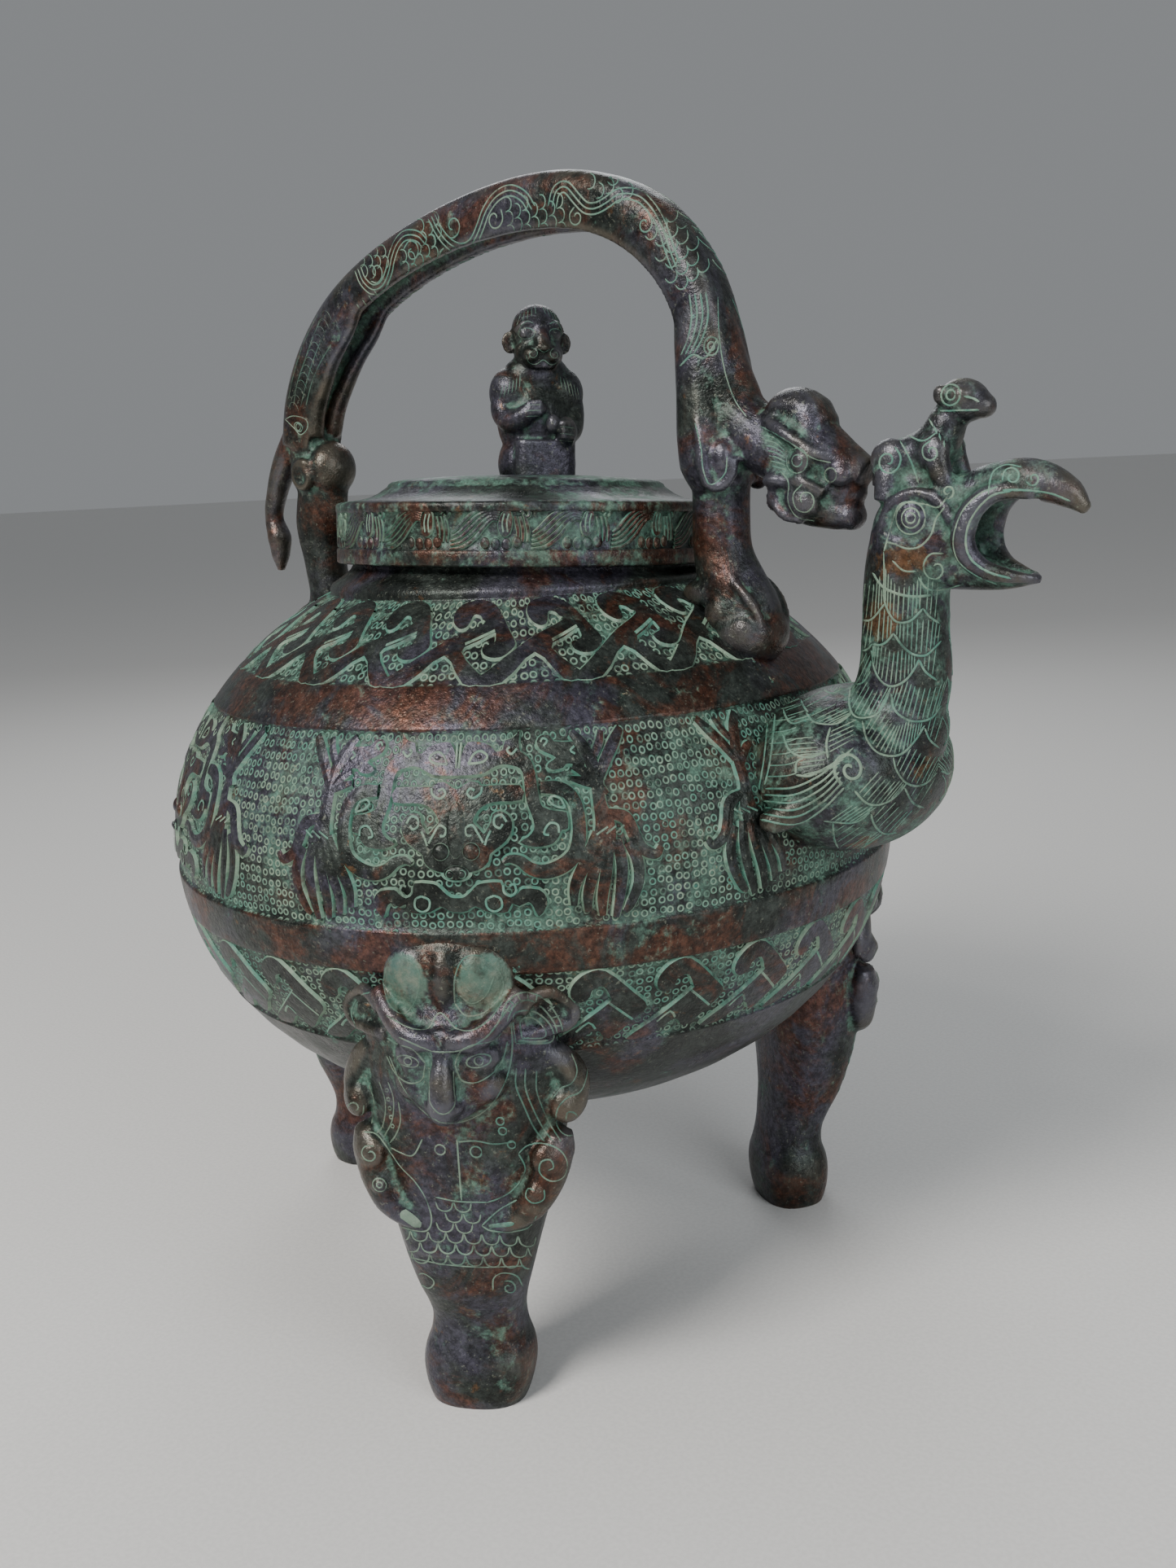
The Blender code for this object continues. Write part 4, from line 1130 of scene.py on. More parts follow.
def leg_release(co, *stance):
    """The way back from a standing leg to the common pattern along +X."""
    co = np.array(co, float)
    spin, shift = leg_moves(co, *stance)
    co[:, :2] = (co[:, :2] - shift) @ spin
    co[:, 0] += hip_bend(co)
    return co


def cup(x, z, wide, deep):
    """The lower edge of one hanging scale."""
    return ((x - wide, z), (x - 0.72 * wide, z - 0.75 * deep), (x, z - deep),
            (x + 0.72 * wide, z - 0.75 * deep), (x + wide, z))


def leg_strokes():
    """(line, half width) pairs of one leg's front, as (across, height) in mm."""
    fine = [
        ((-13, 111), (-11.4, 115.4), (-7.4, 116.4), (-4.8, 113), (-6, 107), (-9, 103.8), (-12, 106),
         (-13, 111)),
        ((2.6, 106.4), (3, 112), (5.2, 116.4), (9, 117), (13, 113.6), (13.2, 109), (9.6, 104.8),
         (5, 103.6), (2.6, 106.4)),
        ((3.8, 108.2), (6.2, 106.3), (9.6, 108.2), (11.8, 112.8)),
        ((-13, 103.4), (-8, 100.7), (-4, 100.5), (-2.2, 103), (-0.8, 104.2), (0.6, 103), (2.6, 100.7),
         (6, 100.4), (10, 103), (13.4, 107.4)),
        ((-10.5, 98.4), (-4, 95.6), (0, 95.2), (4, 96), (9, 98.8), (13, 103.8), (15, 106.4)),
        ((1.6, 92.4), (3, 95.4), (6, 97), (10, 97.9), (12.4, 99.8)),
        ((1.6, 92.4), (2.8, 88.8), (6, 88.4), (9.6, 90.4), (12.2, 93.6), (13.6, 98)),
        ring((7, 93.4), 2.9, 0.5, 16), ring((7, 93.4), 1),
        ((-5, 92.5), (-7.5, 95.6), (-11, 96.8), (-13.2, 98.2)),
        ((-5, 92.5), (-6, 88.8), (-9, 87.8), (-12, 90), (-13.6, 94)),
        ring((-8.9, 92.9), 2.5, 0.5, -14), ring((-8.9, 92.9), 0.9),
        ((-4.2, 91), (-4.6, 86), (-4.6, 83.4), (-3.4, 81.4), (-2, 80.8), (-0.4, 81.4), (1, 83.4), (1, 87),
         (1.2, 91)),
        ((14.6, 103), (14.6, 97), (13.4, 91), (11, 86), (8, 82.3), (4, 79.8), (0, 78.8), (-3.4, 79.2),
         (-7.4, 82.4), (-10.6, 87), (-13, 94)),
        ((15.4, 97.6), (15.2, 103.6), (17.4, 105), (20.4, 104.6), (23, 102.2), (23.8, 99.2), (22, 97.8),
         (15.4, 97.6)),
        ((16.8, 98.8), (16.8, 102.8), (19.6, 103.4), (22, 100.8), (21.4, 99), (16.8, 98.8)),
        ((12.6, 103.4), (14.2, 107), (18, 109.2), (22.2, 107.6), (25.4, 102.6), (25.6, 98)),
        ((13.8, 102.4), (15.6, 106), (18.4, 107.4), (21.4, 106), (24.2, 102), (24.4, 98.4)),
        ((-16, 108.6), (-18.6, 107.6), (-20.8, 104), (-20, 100.4)),
        ((15.2, 92), (14.8, 88), (16.2, 83.6), (18.2, 78.4), (20.4, 75.2)),
        ((17.2, 92), (16.9, 87.6), (18.2, 83), (20.2, 78.4), (22.2, 75.4)),
        ((19.6, 91.6), (19.3, 87.2), (20.4, 83), (22, 79), (24, 75.4)),
        ((29.6, 97), (30.6, 92), (29, 87.2), (26, 85.6), (23.7, 83), (23.2, 79.6), (24.6, 77.2),
         (26.8, 77), (28.2, 79), (27.6, 81.8), (25.9, 82.2), (25.3, 80.4)),
        ((27.4, 95.6), (28.4, 92), (27.2, 89), (24.6, 87.6), (22.4, 85)),
        ((14.4, 72.2), (16.6, 74.2), (20, 74.8), (23.6, 73.4), (25.1, 70.4), (24, 67), (21.2, 66),
         (18.9, 67.8), (19.3, 70.4), (21.4, 71), (22, 69.2), (20.8, 68.6)),
        ((19.6, 64), (19.4, 61.6), (17, 60.6), (15.4, 62), (16, 64), (17.5, 63.6)),
        ((14.4, 72.2), (15.7, 69), (14.6, 66), (12, 63), (9, 61.2), (6.6, 60.3)),
        ((-5, 61), (0, 60.2), (6.6, 60.3)), ((0.8, 75), (0.8, 60.4)),
        ring((-3.2, 72.4), 1.2), ring((4.9, 72.2), 1.3), ((1, 74.4), (5, 74.8), (9, 74.2), (13.2, 74.8)),
        ring((10.8, 79.6), 0.9), ring((11.2, 77.3), 0.9), ring((13, 74.2), 0.9),
        ((-18.2, 87), (-17.4, 83), (-18.4, 78)), ((-15.8, 88), (-14.8, 83), (-15.8, 77.8), (-17.6, 75.6)),
        ((-13.8, 88), (-12.9, 84), (-13.6, 79), (-15.8, 75)),
        ((-11.8, 83.4), (-11.7, 79), (-13, 75.6), (-14.6, 73.6)),
        spiral((-22, 81.6), 2.4, 20, -450), spiral((-19.4, 70.6), 2.4, 60, 430),
        ring((-17.8, 63.4), 1.6), ring((-17.8, 63.4), 0.7),
        ((-20.4, 76), (-17.5, 75.6), (-15, 72), (-12.6, 68), (-9.6, 64.6), (-7.4, 60.6), (-6.4, 56),
         (-7.4, 53), (-10, 52.6), (-14.6, 53.6)),
        ((-14.4, 72.5), (-12.4, 71.4), (-9.5, 70.8), (-7, 74.8)),
        ((5, 54.6), (7, 53.5), (11, 53.4), (15.4, 54.6), (17.6, 57.6)),
        ((5, 54.6), (7.4, 57), (10, 59.2), (13.4, 61.2)),
        ((-14, 46.4), (-6, 44.9), (0, 44.5), (6, 44.6), (14, 45.4)),
        ((6.5, 39), (6.9, 42), (9.2, 43.4), (12.2, 42.8), (13.4, 40.4)),
        spiral((10.2, 39.8), 1.9, 120, -420),
        ((-12, 41), (-9.4, 42.2), (-7, 40.4), (-8.2, 38.6), (-10, 39.4)),
    ]
    for row in range(3):
        for k in range(8):
            fine.append(cup(-13.6 + 4.1 * k + (2.05 if row % 2 else 0), 52.6 - 2.7 * row, 2, 2.5))
    for x, z in ((-3.2, 60), (1, 60), (-1.2, 57.4), (3, 57.4), (-3.4, 55), (1, 54.9)):
        fine.append(cup(x, z, 2, 2.3))
    for k in range(9):
        angle = math.radians(150 - 19 * k)
        fine.append(((19.0 + 4.7 * math.cos(angle), 102.0 + 5.2 * math.sin(angle)),
                     (19.0 + 6.6 * math.cos(angle), 102.0 + 7.0 * math.sin(angle))))
    for k in range(5):
        fine.append(ring((-14.2 + 0.15 * k, 86.0 - 2.1 * k), 0.45))
    wide = [(((-13.4, 57), (-11.4, 55.6), (-9.2, 53.6)), 1.15),
            (((6.6, 54.7), (9, 54.9), (12.4, 55.5)), 0.55),
            (((15.8, 98.2), (19, 98), (22.4, 98.4)), 0.5)]
    return [(line, 0.24) for line in fine] + wide


def leg_lines(pattern):
    """The strokes carried onto a leg as it stands below its mask, then brought back to the pattern."""
    stance = LEGS["leg_front_right"]
    standing = copied(pattern, "standing_leg")
    set_points(standing, leg_stance(points_of(standing), *stance))
    turn = math.radians(stance[0])
    heart = Vector((FACE_RADIUS * math.cos(turn), FACE_RADIUS * math.sin(turn), 0))
    across = Vector((-math.sin(turn), math.cos(turn), 0))

    def sight(t, z):
        return EYE, (heart + across * t + Vector((0, 0, z)) - EYE).normalized()

    tracing = Tracing(standing, sight)
    for line, half in leg_strokes():
        tracing.stroke(line, half, 0.14 if half < 0.3 else 0.25, pale=0.8 if line[0][1] < 80 else 0.6)
    made = tracing.finished("leg_lines_pattern")
    set_points(made, leg_release(points_of(made), *stance))
    bpy.data.objects.remove(standing, do_unlink=True)
    return made


def arch():
    """The handle's arch: a rounded bar with a groove along its underside."""
    half, lip = ARCH_WIDTH / 2, GROOVE_WIDTH / 2
    line = flowing(ARCH_LINE, 8)
    along = np.gradient(line[:, :2], axis=0)
    along /= np.linalg.norm(along, axis=1)[:, None]
    rings = []
    for (x, z, thick), (dx, dz) in zip(line, along):
        top = thick / 2
        section = (
            (-half * 0.35, top), (half * 0.35, top), (half * 0.7, top * 0.9), (half * 0.93, top * 0.55),
            (half, 0.0), (half * 0.98, -top * 0.5), (half * 0.88, -top), (lip * 1.15, -top),
            (lip * 0.85, GROOVE_DEPTH - top), (-lip * 0.85, GROOVE_DEPTH - top), (-lip * 1.15, -top),
            (-half * 0.88, -top), (-half * 0.98, -top * 0.5), (-half, 0.0), (-half * 0.93, top * 0.55),
            (-half * 0.7, top * 0.9),
        )
        rings.append([(x - dz * rise, across, z + dx * rise) for across, rise in section])
    return lofted("arch", rings)


def scroll_rods(centre, y, reach, start, turn, r):
    """A raised spiral on both cheeks of a cast beast."""
    flat = spiral(centre, reach, start, turn, 0.2, 10)
    return rod_pair([(x, y, z, r * (1 - 0.035 * k)) for k, (x, z) in enumerate(flat)])


def handle():
    """The arch between a rear beast's haunches and a dragon that looks over the spout."""
    shapes = [
        arch(),
        # Lips of the groove where the arch meets the rear haunches
        *rod_pair([(-48, 4.9, 262.8, 1), (-54, 4.9, 255.8, 1.6), (-61.4, 4.6, 249, 2),
                   (-66.6, 4.1, 242.4, 2.3), (-70.6, 3.8, 236.6, 2.6), (-73.6, 3.4, 229.6, 3)]),
        # Rear: haunch with a raised scroll, claw, hanging tail and hind leg
        blob((-78, 0, 223.5), (7.6, 6.6, 8.4)),
        blob((-76.4, 0, 219), (8.6, 8.2, 8.6)),
        blob((-71, 0, 219.8), (6.4, 7.6, 7.8)),
        *scroll_rods((-74.6, 217.8), 7.9, 4.3, 60, 520, 1.3),
        rod([(-70.8, 0, 213.6, 3.6), (-70.2, 0, 208, 2.7), (-69.8, 0, 202.4, 0.7)], flat=1.3),
        rod([(-84, 0, 230, 4.5), (-91, 0, 222, 4), (-96.4, 0, 213, 3.2), (-98.6, 0, 206, 2.8),
             (-97, 0, 200, 3.7), (-97.2, 0, 194.6, 2.8), (-97.6, 0, 190.2, 1.2)]),
        rod([(-76, 0, 214, 7.5), (-77.6, 0, 204, 8), (-77.2, 0, 194, 6.8), (-76.2, 0, 184, 6.6),
             (-79, 0, 163, 9)], flat=0.86),
        blob((-83, 0, 173), (10, 9.5, 7), (0, -48, 0)),
        # Front: the arch swells into a pear-shaped shoulder with an oval boss inside a raised crescent
        *rod_pair([(59.8, 2.2, 252, 5.2), (60.8, 2.4, 243, 6.2), (61.8, 2.5, 233, 6.9),
                   (62.8, 2.6, 223, 7.9), (63.6, 2.6, 216, 8.1), (65, 2.4, 210, 6.2)]),
        rod([(63.6, 0, 248, 4.6), (65.4, 0, 237, 6.2), (68, 0, 227, 7.4), (68.5, 0, 217, 8)]),
        *pair((68.9, 8, 216.5), (3.2, 2.2, 4.6)),
        *rod_pair([(63.2, 9, 228, 0.9), (65.2, 10, 221, 1.4), (65.8, 10.2, 214.6, 1.5),
                   (67.8, 9, 210.4, 1.4), (71.6, 7.9, 212.4, 1.2), (72.8, 7.4, 216.6, 0.9)]),
        # Fore leg with a smooth worn paw on the bowl's shoulder
        rod([(64, 0, 214, 7.2), (63.6, 0, 205, 7.1), (63.8, 0, 195, 7.3), (66.4, 0, 187, 8.4),
             (70, 0, 180, 8.8), (71.6, 0, 172, 8)], flat=0.92),
        blob((62.6, 0, 185.4), (9.8, 7.4, 4.4)),
        blob((71, 0, 176), (9, 9.6, 8)),
        *rod_pair([(68.4, 5.8, 190.4, 0.9), (73.4, 6.6, 186, 1.1), (76.4, 6.2, 181.6, 1.1),
                   (77.6, 5.4, 177, 0.9)]),
        *pair((72.6, 7.2, 177.4), (3.6, 2.2, 3.2)),
        *pair((66.4, 6.8, 181), (4, 2, 4.2)),
        # Dragon head: neck, cheeks, slab of crest and forehead down to the snout, jaw
        rod([(68, 0, 226, 7.6), (76, 0, 220, 7.4), (84, 0, 216, 7.2)]),
        blob((87, 0, 214.5), (9.4, 7, 7.6)),
        blob((89, 0, 209), (9, 6, 5.6)),
        rod([(79.8, 0, 222.5, 3.6), (82.2, 0, 226.6, 4.4), (87, 0, 226.2, 4.8),
             (90, 0, 221.6, 5.2)], flat=1.3),
        blob((86, 0, 222.6), (6.2, 6.8, 6.4)),
        rod([(88, 0, 221, 5.8), (93, 0, 216.8, 5.4), (98, 0, 213.6, 4.6),
             (102.4, 0, 211.8, 3.4)], flat=1.25),
        blob((89.8, 0, 226.6), (2.8, 5.6, 2.8)),
        *rod_pair([(78, 3.4, 225.4, 1.4), (84.4, 7.2, 222.2, 1.5), (88.6, 7.4, 219.6, 1.5),
                   (92.6, 6.8, 217, 1.3), (98.6, 4.4, 215, 1)]),
        rod([(80.4, 0, 209.4, 5.6), (88, 0, 205.6, 4.9), (94.6, 0, 203.6, 3.9),
             (97.2, 0, 203, 3.4)], flat=1.25),
        blob((98.4, 0, 202.8), (2.8, 4.4, 3.3)),
        blob((96.4, 0, 207.8), (5.4, 4.4, 3.4)),
        *pair((89.6, 6.8, 215.2), (2.7, 2.4, 2.7)),
        *pair((98, 4.6, 212), (3, 2.4, 2.7)),
        *pair((82.8, 6.6, 211.4), (3.6, 2.4, 1.8)),
        *pair((89, 5.8, 206.6), (4.6, 2.8, 3.4), (0, 18, 0)),
        *rod_pair([(84.5, 6.8, 210.4, 1), (89.6, 7.6, 210.8, 1.1), (94.6, 6, 208.2, 1)]),
        *rod_pair([(81.6, 6.2, 206.6, 1), (84.4, 6.6, 203.6, 1.1), (89.4, 6.2, 202.2, 1)]),
    ]
    return weathered(kept_in_wall(melted(shapes, "handle", 0.8)))


def scale_edge(x, z, lie):
    """The rounded edge of one scale; lie is in degrees."""
    angles = [math.radians(lie + t) for t in (-95, -55, -20, 20, 55, 95)]
    return [(x + SCALE_REACH * math.cos(a), z + SCALE_REACH * math.sin(a)) for a in angles]


def scale_field(start, along, across, counts):
    """Edges of overlapping scales in staggered rows."""
    lie = math.degrees(math.atan2(along[1], along[0]))
    rows = []
    for i in range(counts[0]):
        for j in range(counts[1]):
            step = j + (0.5 if i % 2 else 0.0)
            rows.append(scale_edge(start[0] + i * along[0] + step * across[0],
                                   start[1] + i * along[1] + step * across[1], lie))
    return rows


ARCH_BANDS = (
    ((-45.5, 271.5), (-44, 268.2), (-40.5, 265.6), (-36.6, 266.2), (-34, 269.2), (-32.4, 272.8),
     (-30, 276), (-26.6, 277.6), (-22.4, 276.8), (-20, 274.6)),
    ((-17, 281), (-15.4, 278), (-12.8, 274.8), (-9.4, 272.4), (-5.8, 271.8), (-3, 273), (-0.6, 276),
     (1.8, 279.6), (5.4, 282.4), (10, 283.2), (14.2, 281.2), (16.6, 277.8)),
    ((23, 277.6), (24.4, 280.8), (27.4, 281.4), (30.4, 278.4), (33, 276), (36, 275.4), (39.4, 276.2),
     (42.6, 277.4), (46, 277.2), (49.2, 276), (51.8, 273.6), (54, 270.6), (55.6, 267), (56.8, 263.4),
     (58.4, 259.6)),
)


def handle_lines(piece):
    """Winding bands and scales of the arch, then the curls of its beasts."""
    tracing = Tracing(piece, from_eye(-7.5))

    def draw(line, half=0.25, lift=0.14, pale=0.85):
        tracing.stroke(line, half, lift, mirror=True, keep=near_side, pale=pale)

    for band in ARCH_BANDS:
        for gap in (-1.25, 0, 1.25):
            draw(beside(band, gap))
    fields = (
        ((8.4, 280.2), (2.7, -0.25), (0.3, -3.3), (7, 3)), ((51.6, 268.2), (1.3, -2.5), (3, 1.5), (6, 3)),
        ((-21.6, 279.2), (2.7, 0.5), (0.6, -3.2), (3, 2)),
        ((-44.4, 273.4), (2.6, 0.9), (0.8, -2.8), (4, 2)),
        ((-28.6, 272.6), (2.7, 0.6), (0.6, -3), (5, 2)),
        ((34.6, 281.6), (2.7, -0.9), (-0.6, -3), (5, 1)),
    )
    for start, along, across, counts in fields:
        for row in scale_field(start, along, across, counts):
            draw(row, 0.22, 0.12)
    curls = (
        spiral((-38.6, 269.8), 3, -140, 400), spiral((-24.8, 273.2), 3.2, 160, -430),
        spiral((-9.8, 277.6), 3.2, 200, 430), spiral((-13.2, 270.6), 2.2, 90, 400),
        spiral((4.4, 277.4), 3, 40, -400), spiral((30.2, 274.2), 2.4, 100, 420),
        spiral((50, 270), 2.4, 60, -400), spiral((41.8, 281.4), 2, 200, 430),
    )
    for line in curls:
        draw(line)
    for k in range(4):
        draw([(a + 2.4 * k, z + 0.9 * k) for a, z in ((-47, 262.6), (-45, 260.4), (-42.4, 260.8))])
    snake = (
        ((-80.7, 234.3), (-77.3, 231.7), (-74.6, 229.6), (-71.4, 231.3), (-71.8, 233.7), (-76.9, 235),
         (-80.7, 234.3)), ring((-75.3, 231.8), 1), ring((-75.3, 231.8), 1.8, 0.7, -20),
        ((-76.5, 237.9), (-74.1, 243.9), (-69.5, 250.6), (-65.1, 256.7), (-60.9, 260.9)),
        ((-73.6, 237.2), (-70.5, 243.1), (-67.2, 248.5), (-63.3, 253.7), (-60, 257.1)),
        ((-78.4, 239.9), (-75.3, 246.3), (-70.6, 253.5), (-66.8, 257.8), (-63, 261.5)),
        ((-71.2, 237.5), (-68, 243.4), (-63.6, 248.7), (-58.4, 253.2)),
    )
    for k, line in enumerate(snake):
        draw(line, 0.2, 0.12, 0.8 if k < 3 else 0.4)
    for k in range(13):
        x, z = -78.8 + 1.4 * k, 237.2 + 1.95 * k
        draw(((x, z), (x + 1.2, z + 1.5), (x + 3, z + 1.2), (x + 4.4, z - 1)), 0.15, 0.08, 0.4)
    for k in range(4):
        draw(((66.2 - 1.5 * k, 253.4), (66.6 - 1.5 * k, 248.4), (65 - 1.4 * k, 243.8),
              (62.4 - 1.2 * k, 240.4)))
    draw(ring((67.2, 241.6), 2))
    draw(ring((67.2, 241.6), 1))
    draw(((58.4, 238), (62, 240.2), (65.4, 239.2), (69, 243)), 0.3, 0.2)
    beasts = (
        ((62, 225), (63.5, 219.4), (63.8, 214.8), (65.7, 211), (69.7, 213.2), (70.6, 217.2)),
        ((69.4, 252), (69.4, 244), (70.6, 236), (73, 229.6), (76, 225.6)),
    )
    for line in beasts:
        draw(line, 0.2, 0.08)
    head = Tracing(piece, from_eye(-7))
    strokes = [
        ring((88.5, 215.4), 1.3), ring((88.5, 215.4), 2.7), spiral((90.4, 206.8), 3.6, 100, 470, 0.3),
        ring((96.8, 212), 1.5), ((79.2, 223.4), (83.6, 221.2), (88, 218.6), (92.4, 215.8), (97, 214.6)),
        ((84.2, 213.4), (86.2, 210.8), (86, 206.6), (88.2, 203.2), (92.6, 202.2)),
    ]
    for k in range(7):
        strokes.append(((80.0 + 0.35 * k, 221.4 - 1.15 * k), (82.8 + 0.2 * k, 220.6 - 1.1 * k),
                        (85.6, 218.4 - 0.8 * k)))
    for line in strokes:
        head.stroke(line, 0.22, 0.12, mirror=True, keep=near_side)
    return [tracing.finished("handle_lines"), head.finished("dragon_lines", 0.75)]


def spout():
    """The bird: breast and folded wings, neck, open beak, and the small beast on its crown."""
    shapes = [
        blob((97, 0, 146), (22, 28, 19), fine=48),
        blob((109.5, 0, 156), (10.5, 12.5, 14), fine=36),
        rod([(106, 0, 154, 11.5), (110.5, 0, 166, 10.4), (111, 0, 178, 9.5), (111.5, 0, 190, 9.3),
             (113, 0, 198, 9.2)], sides=10),
        blob((113.5, 0, 199), (9.5, 8.6, 10), fine=36),
        blob((119.5, 0, 198.5), (8.5, 8, 10), fine=36),
        rod([(118, 0, 203, 6.6), (127, 0, 206.4, 5.4), (133, 0, 208.6, 4.8), (138.5, 0, 209.4, 4.4),
             (143, 0, 208.4, 4), (147.3, 0, 206.2, 3.1), (151, 0, 202.8, 1.2)], flat=1.15),
        rod([(118, 0, 193, 6.2), (126, 0, 191, 4.4), (134, 0, 189.4, 2.6),
             (141.5, 0, 189.2, 1)], flat=1.2),
        # Lips round the gape, then eyes with their rings
        *rod_pair([(141, 3.6, 206.6, 1.4), (135, 5.4, 207.4, 2), (130.5, 6.6, 205, 2.4),
                   (128.2, 7.2, 201, 2.6), (127.8, 7.2, 196.6, 2.6), (130.2, 6.4, 192.6, 2.3),
                   (135, 4.4, 190.4, 1.7), (140.5, 1.6, 189.4, 0.9)]),
        *pair((116, 7.6, 202.5), (3.5, 1.9, 3.5)),
        *pair((116, 9, 202.5), (1.5, 1.1, 1.5)),
        *rod_pair([(109, 7, 199.5, 1.4), (112, 8, 205.5, 1.3), (117.5, 7.4, 207.6, 1.3),
                   (123, 7, 205, 1.3), (125.2, 7.2, 201, 1.1)]),
        # Small beast: body, hips, legs, neck and head
        rod([(108.2, 0, 213.6, 5), (113, 0, 214.6, 5.2), (118.4, 0, 217.6, 4.9), (121.6, 0, 223, 4)]),
        blob((113.5, 0, 209.5), (8.4, 5.6, 4.4)),
        blob((124.6, 0, 226), (5.7, 4.4, 4.5), (0, 14, 0)),
        blob((128.6, 0, 224.7), (3, 3.2, 2.7), (0, 18, 0)),
        *pair((125.2, 3.5, 227), (1.9, 1.4, 1.9)),
        *pair((120.6, 3.3, 227.4), (1.6, 1.2, 2.2)),
        *pair((109.6, 4, 214.4), (4.6, 2.8, 4.8)),
        *pair((119.6, 4, 215.6), (3.6, 2.4, 4.2)),
        *rod_pair([(109.5, 4.8, 212, 2.8), (109.5, 5.6, 206, 2.8)]),
        *rod_pair([(120.4, 4.2, 215, 2.6), (122.6, 4.6, 209, 2.4), (124.6, 4.2, 207, 2)]),
        rod([(105.8, 0, 217.4, 2.2), (105.6, 0, 209, 2.2)]),
        # Wings folded back along the bowl, each with a spiral shoulder
        *rod_pair([(104.6, 20.4, 149, 3.4), (101.5, 23.2, 144.4, 3.6), (97, 26.4, 140.8, 3.4),
                   (93.2, 28.4, 138.6, 2.8), (90.6, 29.4, 138.4, 1.8)]),
        *pair((104.6, 20.6, 149), (4.6, 3.4, 4.6)),
    ]
    obj = kept_in_wall(melted(shapes, "spout", 0.7))
    way = ((84, 146), (98, 148), (108, 156), (111, 168), (111.5, 182), (115, 192))
    channel = [(x, 0, z, CHANNEL_RADIUS) for x, z in way]
    channel += [(121, 0, 197.3, 4.8), (126, 0, 198.6, 5), (130, 0, 198.8, 6.4), (135, 0, 198.8, 8),
                (141, 0, 198, 8.4)]
    return weathered(bored(obj, channel, flat=0.86))


NECK_SCALES = (
    ((113, 189.5), (113.3, 185), (115.6, 181.4), (119, 181.5), (122, 184.2)),
    ((122, 184.2), (123.5, 182.5), (125.6, 181.2)),
    ((104.5, 188), (105.6, 184), (107.5, 181.8), (110, 181.6), (113.2, 185)),
    ((110.2, 176.4), (112, 176.2), (113.6, 177), (115.2, 178.8)),
    ((103.5, 180.5), (104.4, 177), (106.4, 175.2), (108.6, 175), (110.2, 176.4)),
    ((115.2, 178.8), (117, 176.5), (119.5, 174.6), (122.5, 174.4), (124.5, 176), (126, 177.5)),
    ((110, 175), (110.6, 171), (112.5, 168.2), (115, 167.5), (118, 169), (120.3, 172), (121, 173.5)),
    ((121, 173.5), (122.5, 171), (125, 169.3)),
    ((102.5, 173), (103.4, 169.5), (105.2, 167.8), (107.6, 167.8), (109.8, 170.6)),
    ((104.8, 166.5), (104.5, 163), (105.5, 160.7), (107.5, 160.2), (110.5, 160.9), (112.5, 163),
     (114.3, 166.5)),
    ((114.5, 166), (115.3, 162.5), (118, 160.6), (121, 160.3), (124, 161.3), (126, 164)),
    ((107.7, 159.5), (108.5, 156), (110.5, 153.3), (113.5, 152.3), (117, 153), (120, 156), (122.3, 159.5)),
    ((122.3, 159), (123.5, 156.5), (125.5, 155)),
    ((115, 152), (115.6, 149.5), (117.5, 147), (120, 146.2), (122.5, 147), (125, 149.5)),
    ((105.5, 143.8), (108, 141.5), (110.5, 141), (113.5, 142), (116, 144), (118, 146.5)),
    ((117.6, 145.6), (119.5, 142.5), (122, 141.6)),
    ((97.7, 136), (101, 136), (105, 136.4), (108, 138), (109.3, 140.3)),
    ((109.5, 139), (110.3, 136.5), (112.5, 134.8), (115.5, 135.4)),
    ((100, 136), (100.3, 132), (102, 129.5), (104.5, 129.5), (107.5, 131), (109.6, 134.4)),
    ((92, 165.5), (92.7, 162.5), (94.2, 160.5)),
    ((96.5, 170.5), (97.5, 166.8), (100, 165.2), (102.6, 166.2)),
    ((93.7, 160.5), (95.5, 158.6), (99, 158.2), (102, 158.8), (105, 161)),
    ((87.5, 155), (89, 151.7), (92, 150.4), (95, 150.5), (98, 152)),
    ((99, 150.5), (98.7, 154), (99.7, 157.5)),
    ((87.5, 163), (88.2, 159.6), (90, 157.8), (92.8, 158.6)),
    ((90.6, 146.3), (91, 149), (93, 150.2)),
    ((90.7, 146), (94, 146), (97, 147.5), (100.5, 149.5)),
)
# Way of the barbs in degrees, at (x, z) places of the breast and neck
FEATHER_LIE = (
    (116, 190, 90), (116, 172, 88), (108, 160, 60), (98, 156, 25), (90, 152, 8), (118, 155, 80),
    (121, 148, 62), (112, 142, 50), (103, 135, 35), (106, 150, 48),
)


def feather_way(x, z):
    """Which way the barbs run at a point of the breast or neck."""
    weigh = [(1 / ((x - a) ** 2 + (z - b) ** 2 + 4) ** 1.5, math.radians(t)) for a, b, t in FEATHER_LIE]
    way = np.array([sum(w * math.cos(t) for w, t in weigh), sum(w * math.sin(t) for w, t in weigh)])
    return way / np.linalg.norm(way)


def barbs(scales):
    """Short parallel lines from each scale's edge up to the next scale."""
    edges = [evenly(flowing(scale, 4), 0.5) for scale in scales]
    everything = np.vstack(edges)
    owner = np.concatenate([np.full(len(edge), k) for k, edge in enumerate(edges)])
    lines = []
    for k, edge in enumerate(edges):
        others = everything[owner != k]
        for x, z in evenly(edge, FEATHER_STEP)[1:-1]:
            way = feather_way(x, z)
            start = np.array([x, z]) + way * 0.55
            go = 0.6
            while go < FEATHER_REACH and np.min(np.linalg.norm(others - (start + way * go), axis=1)) > 0.5:
                go += 0.4
            if go > 1.4:
                lines.append((tuple(start), tuple(start + way * go)))
    return lines


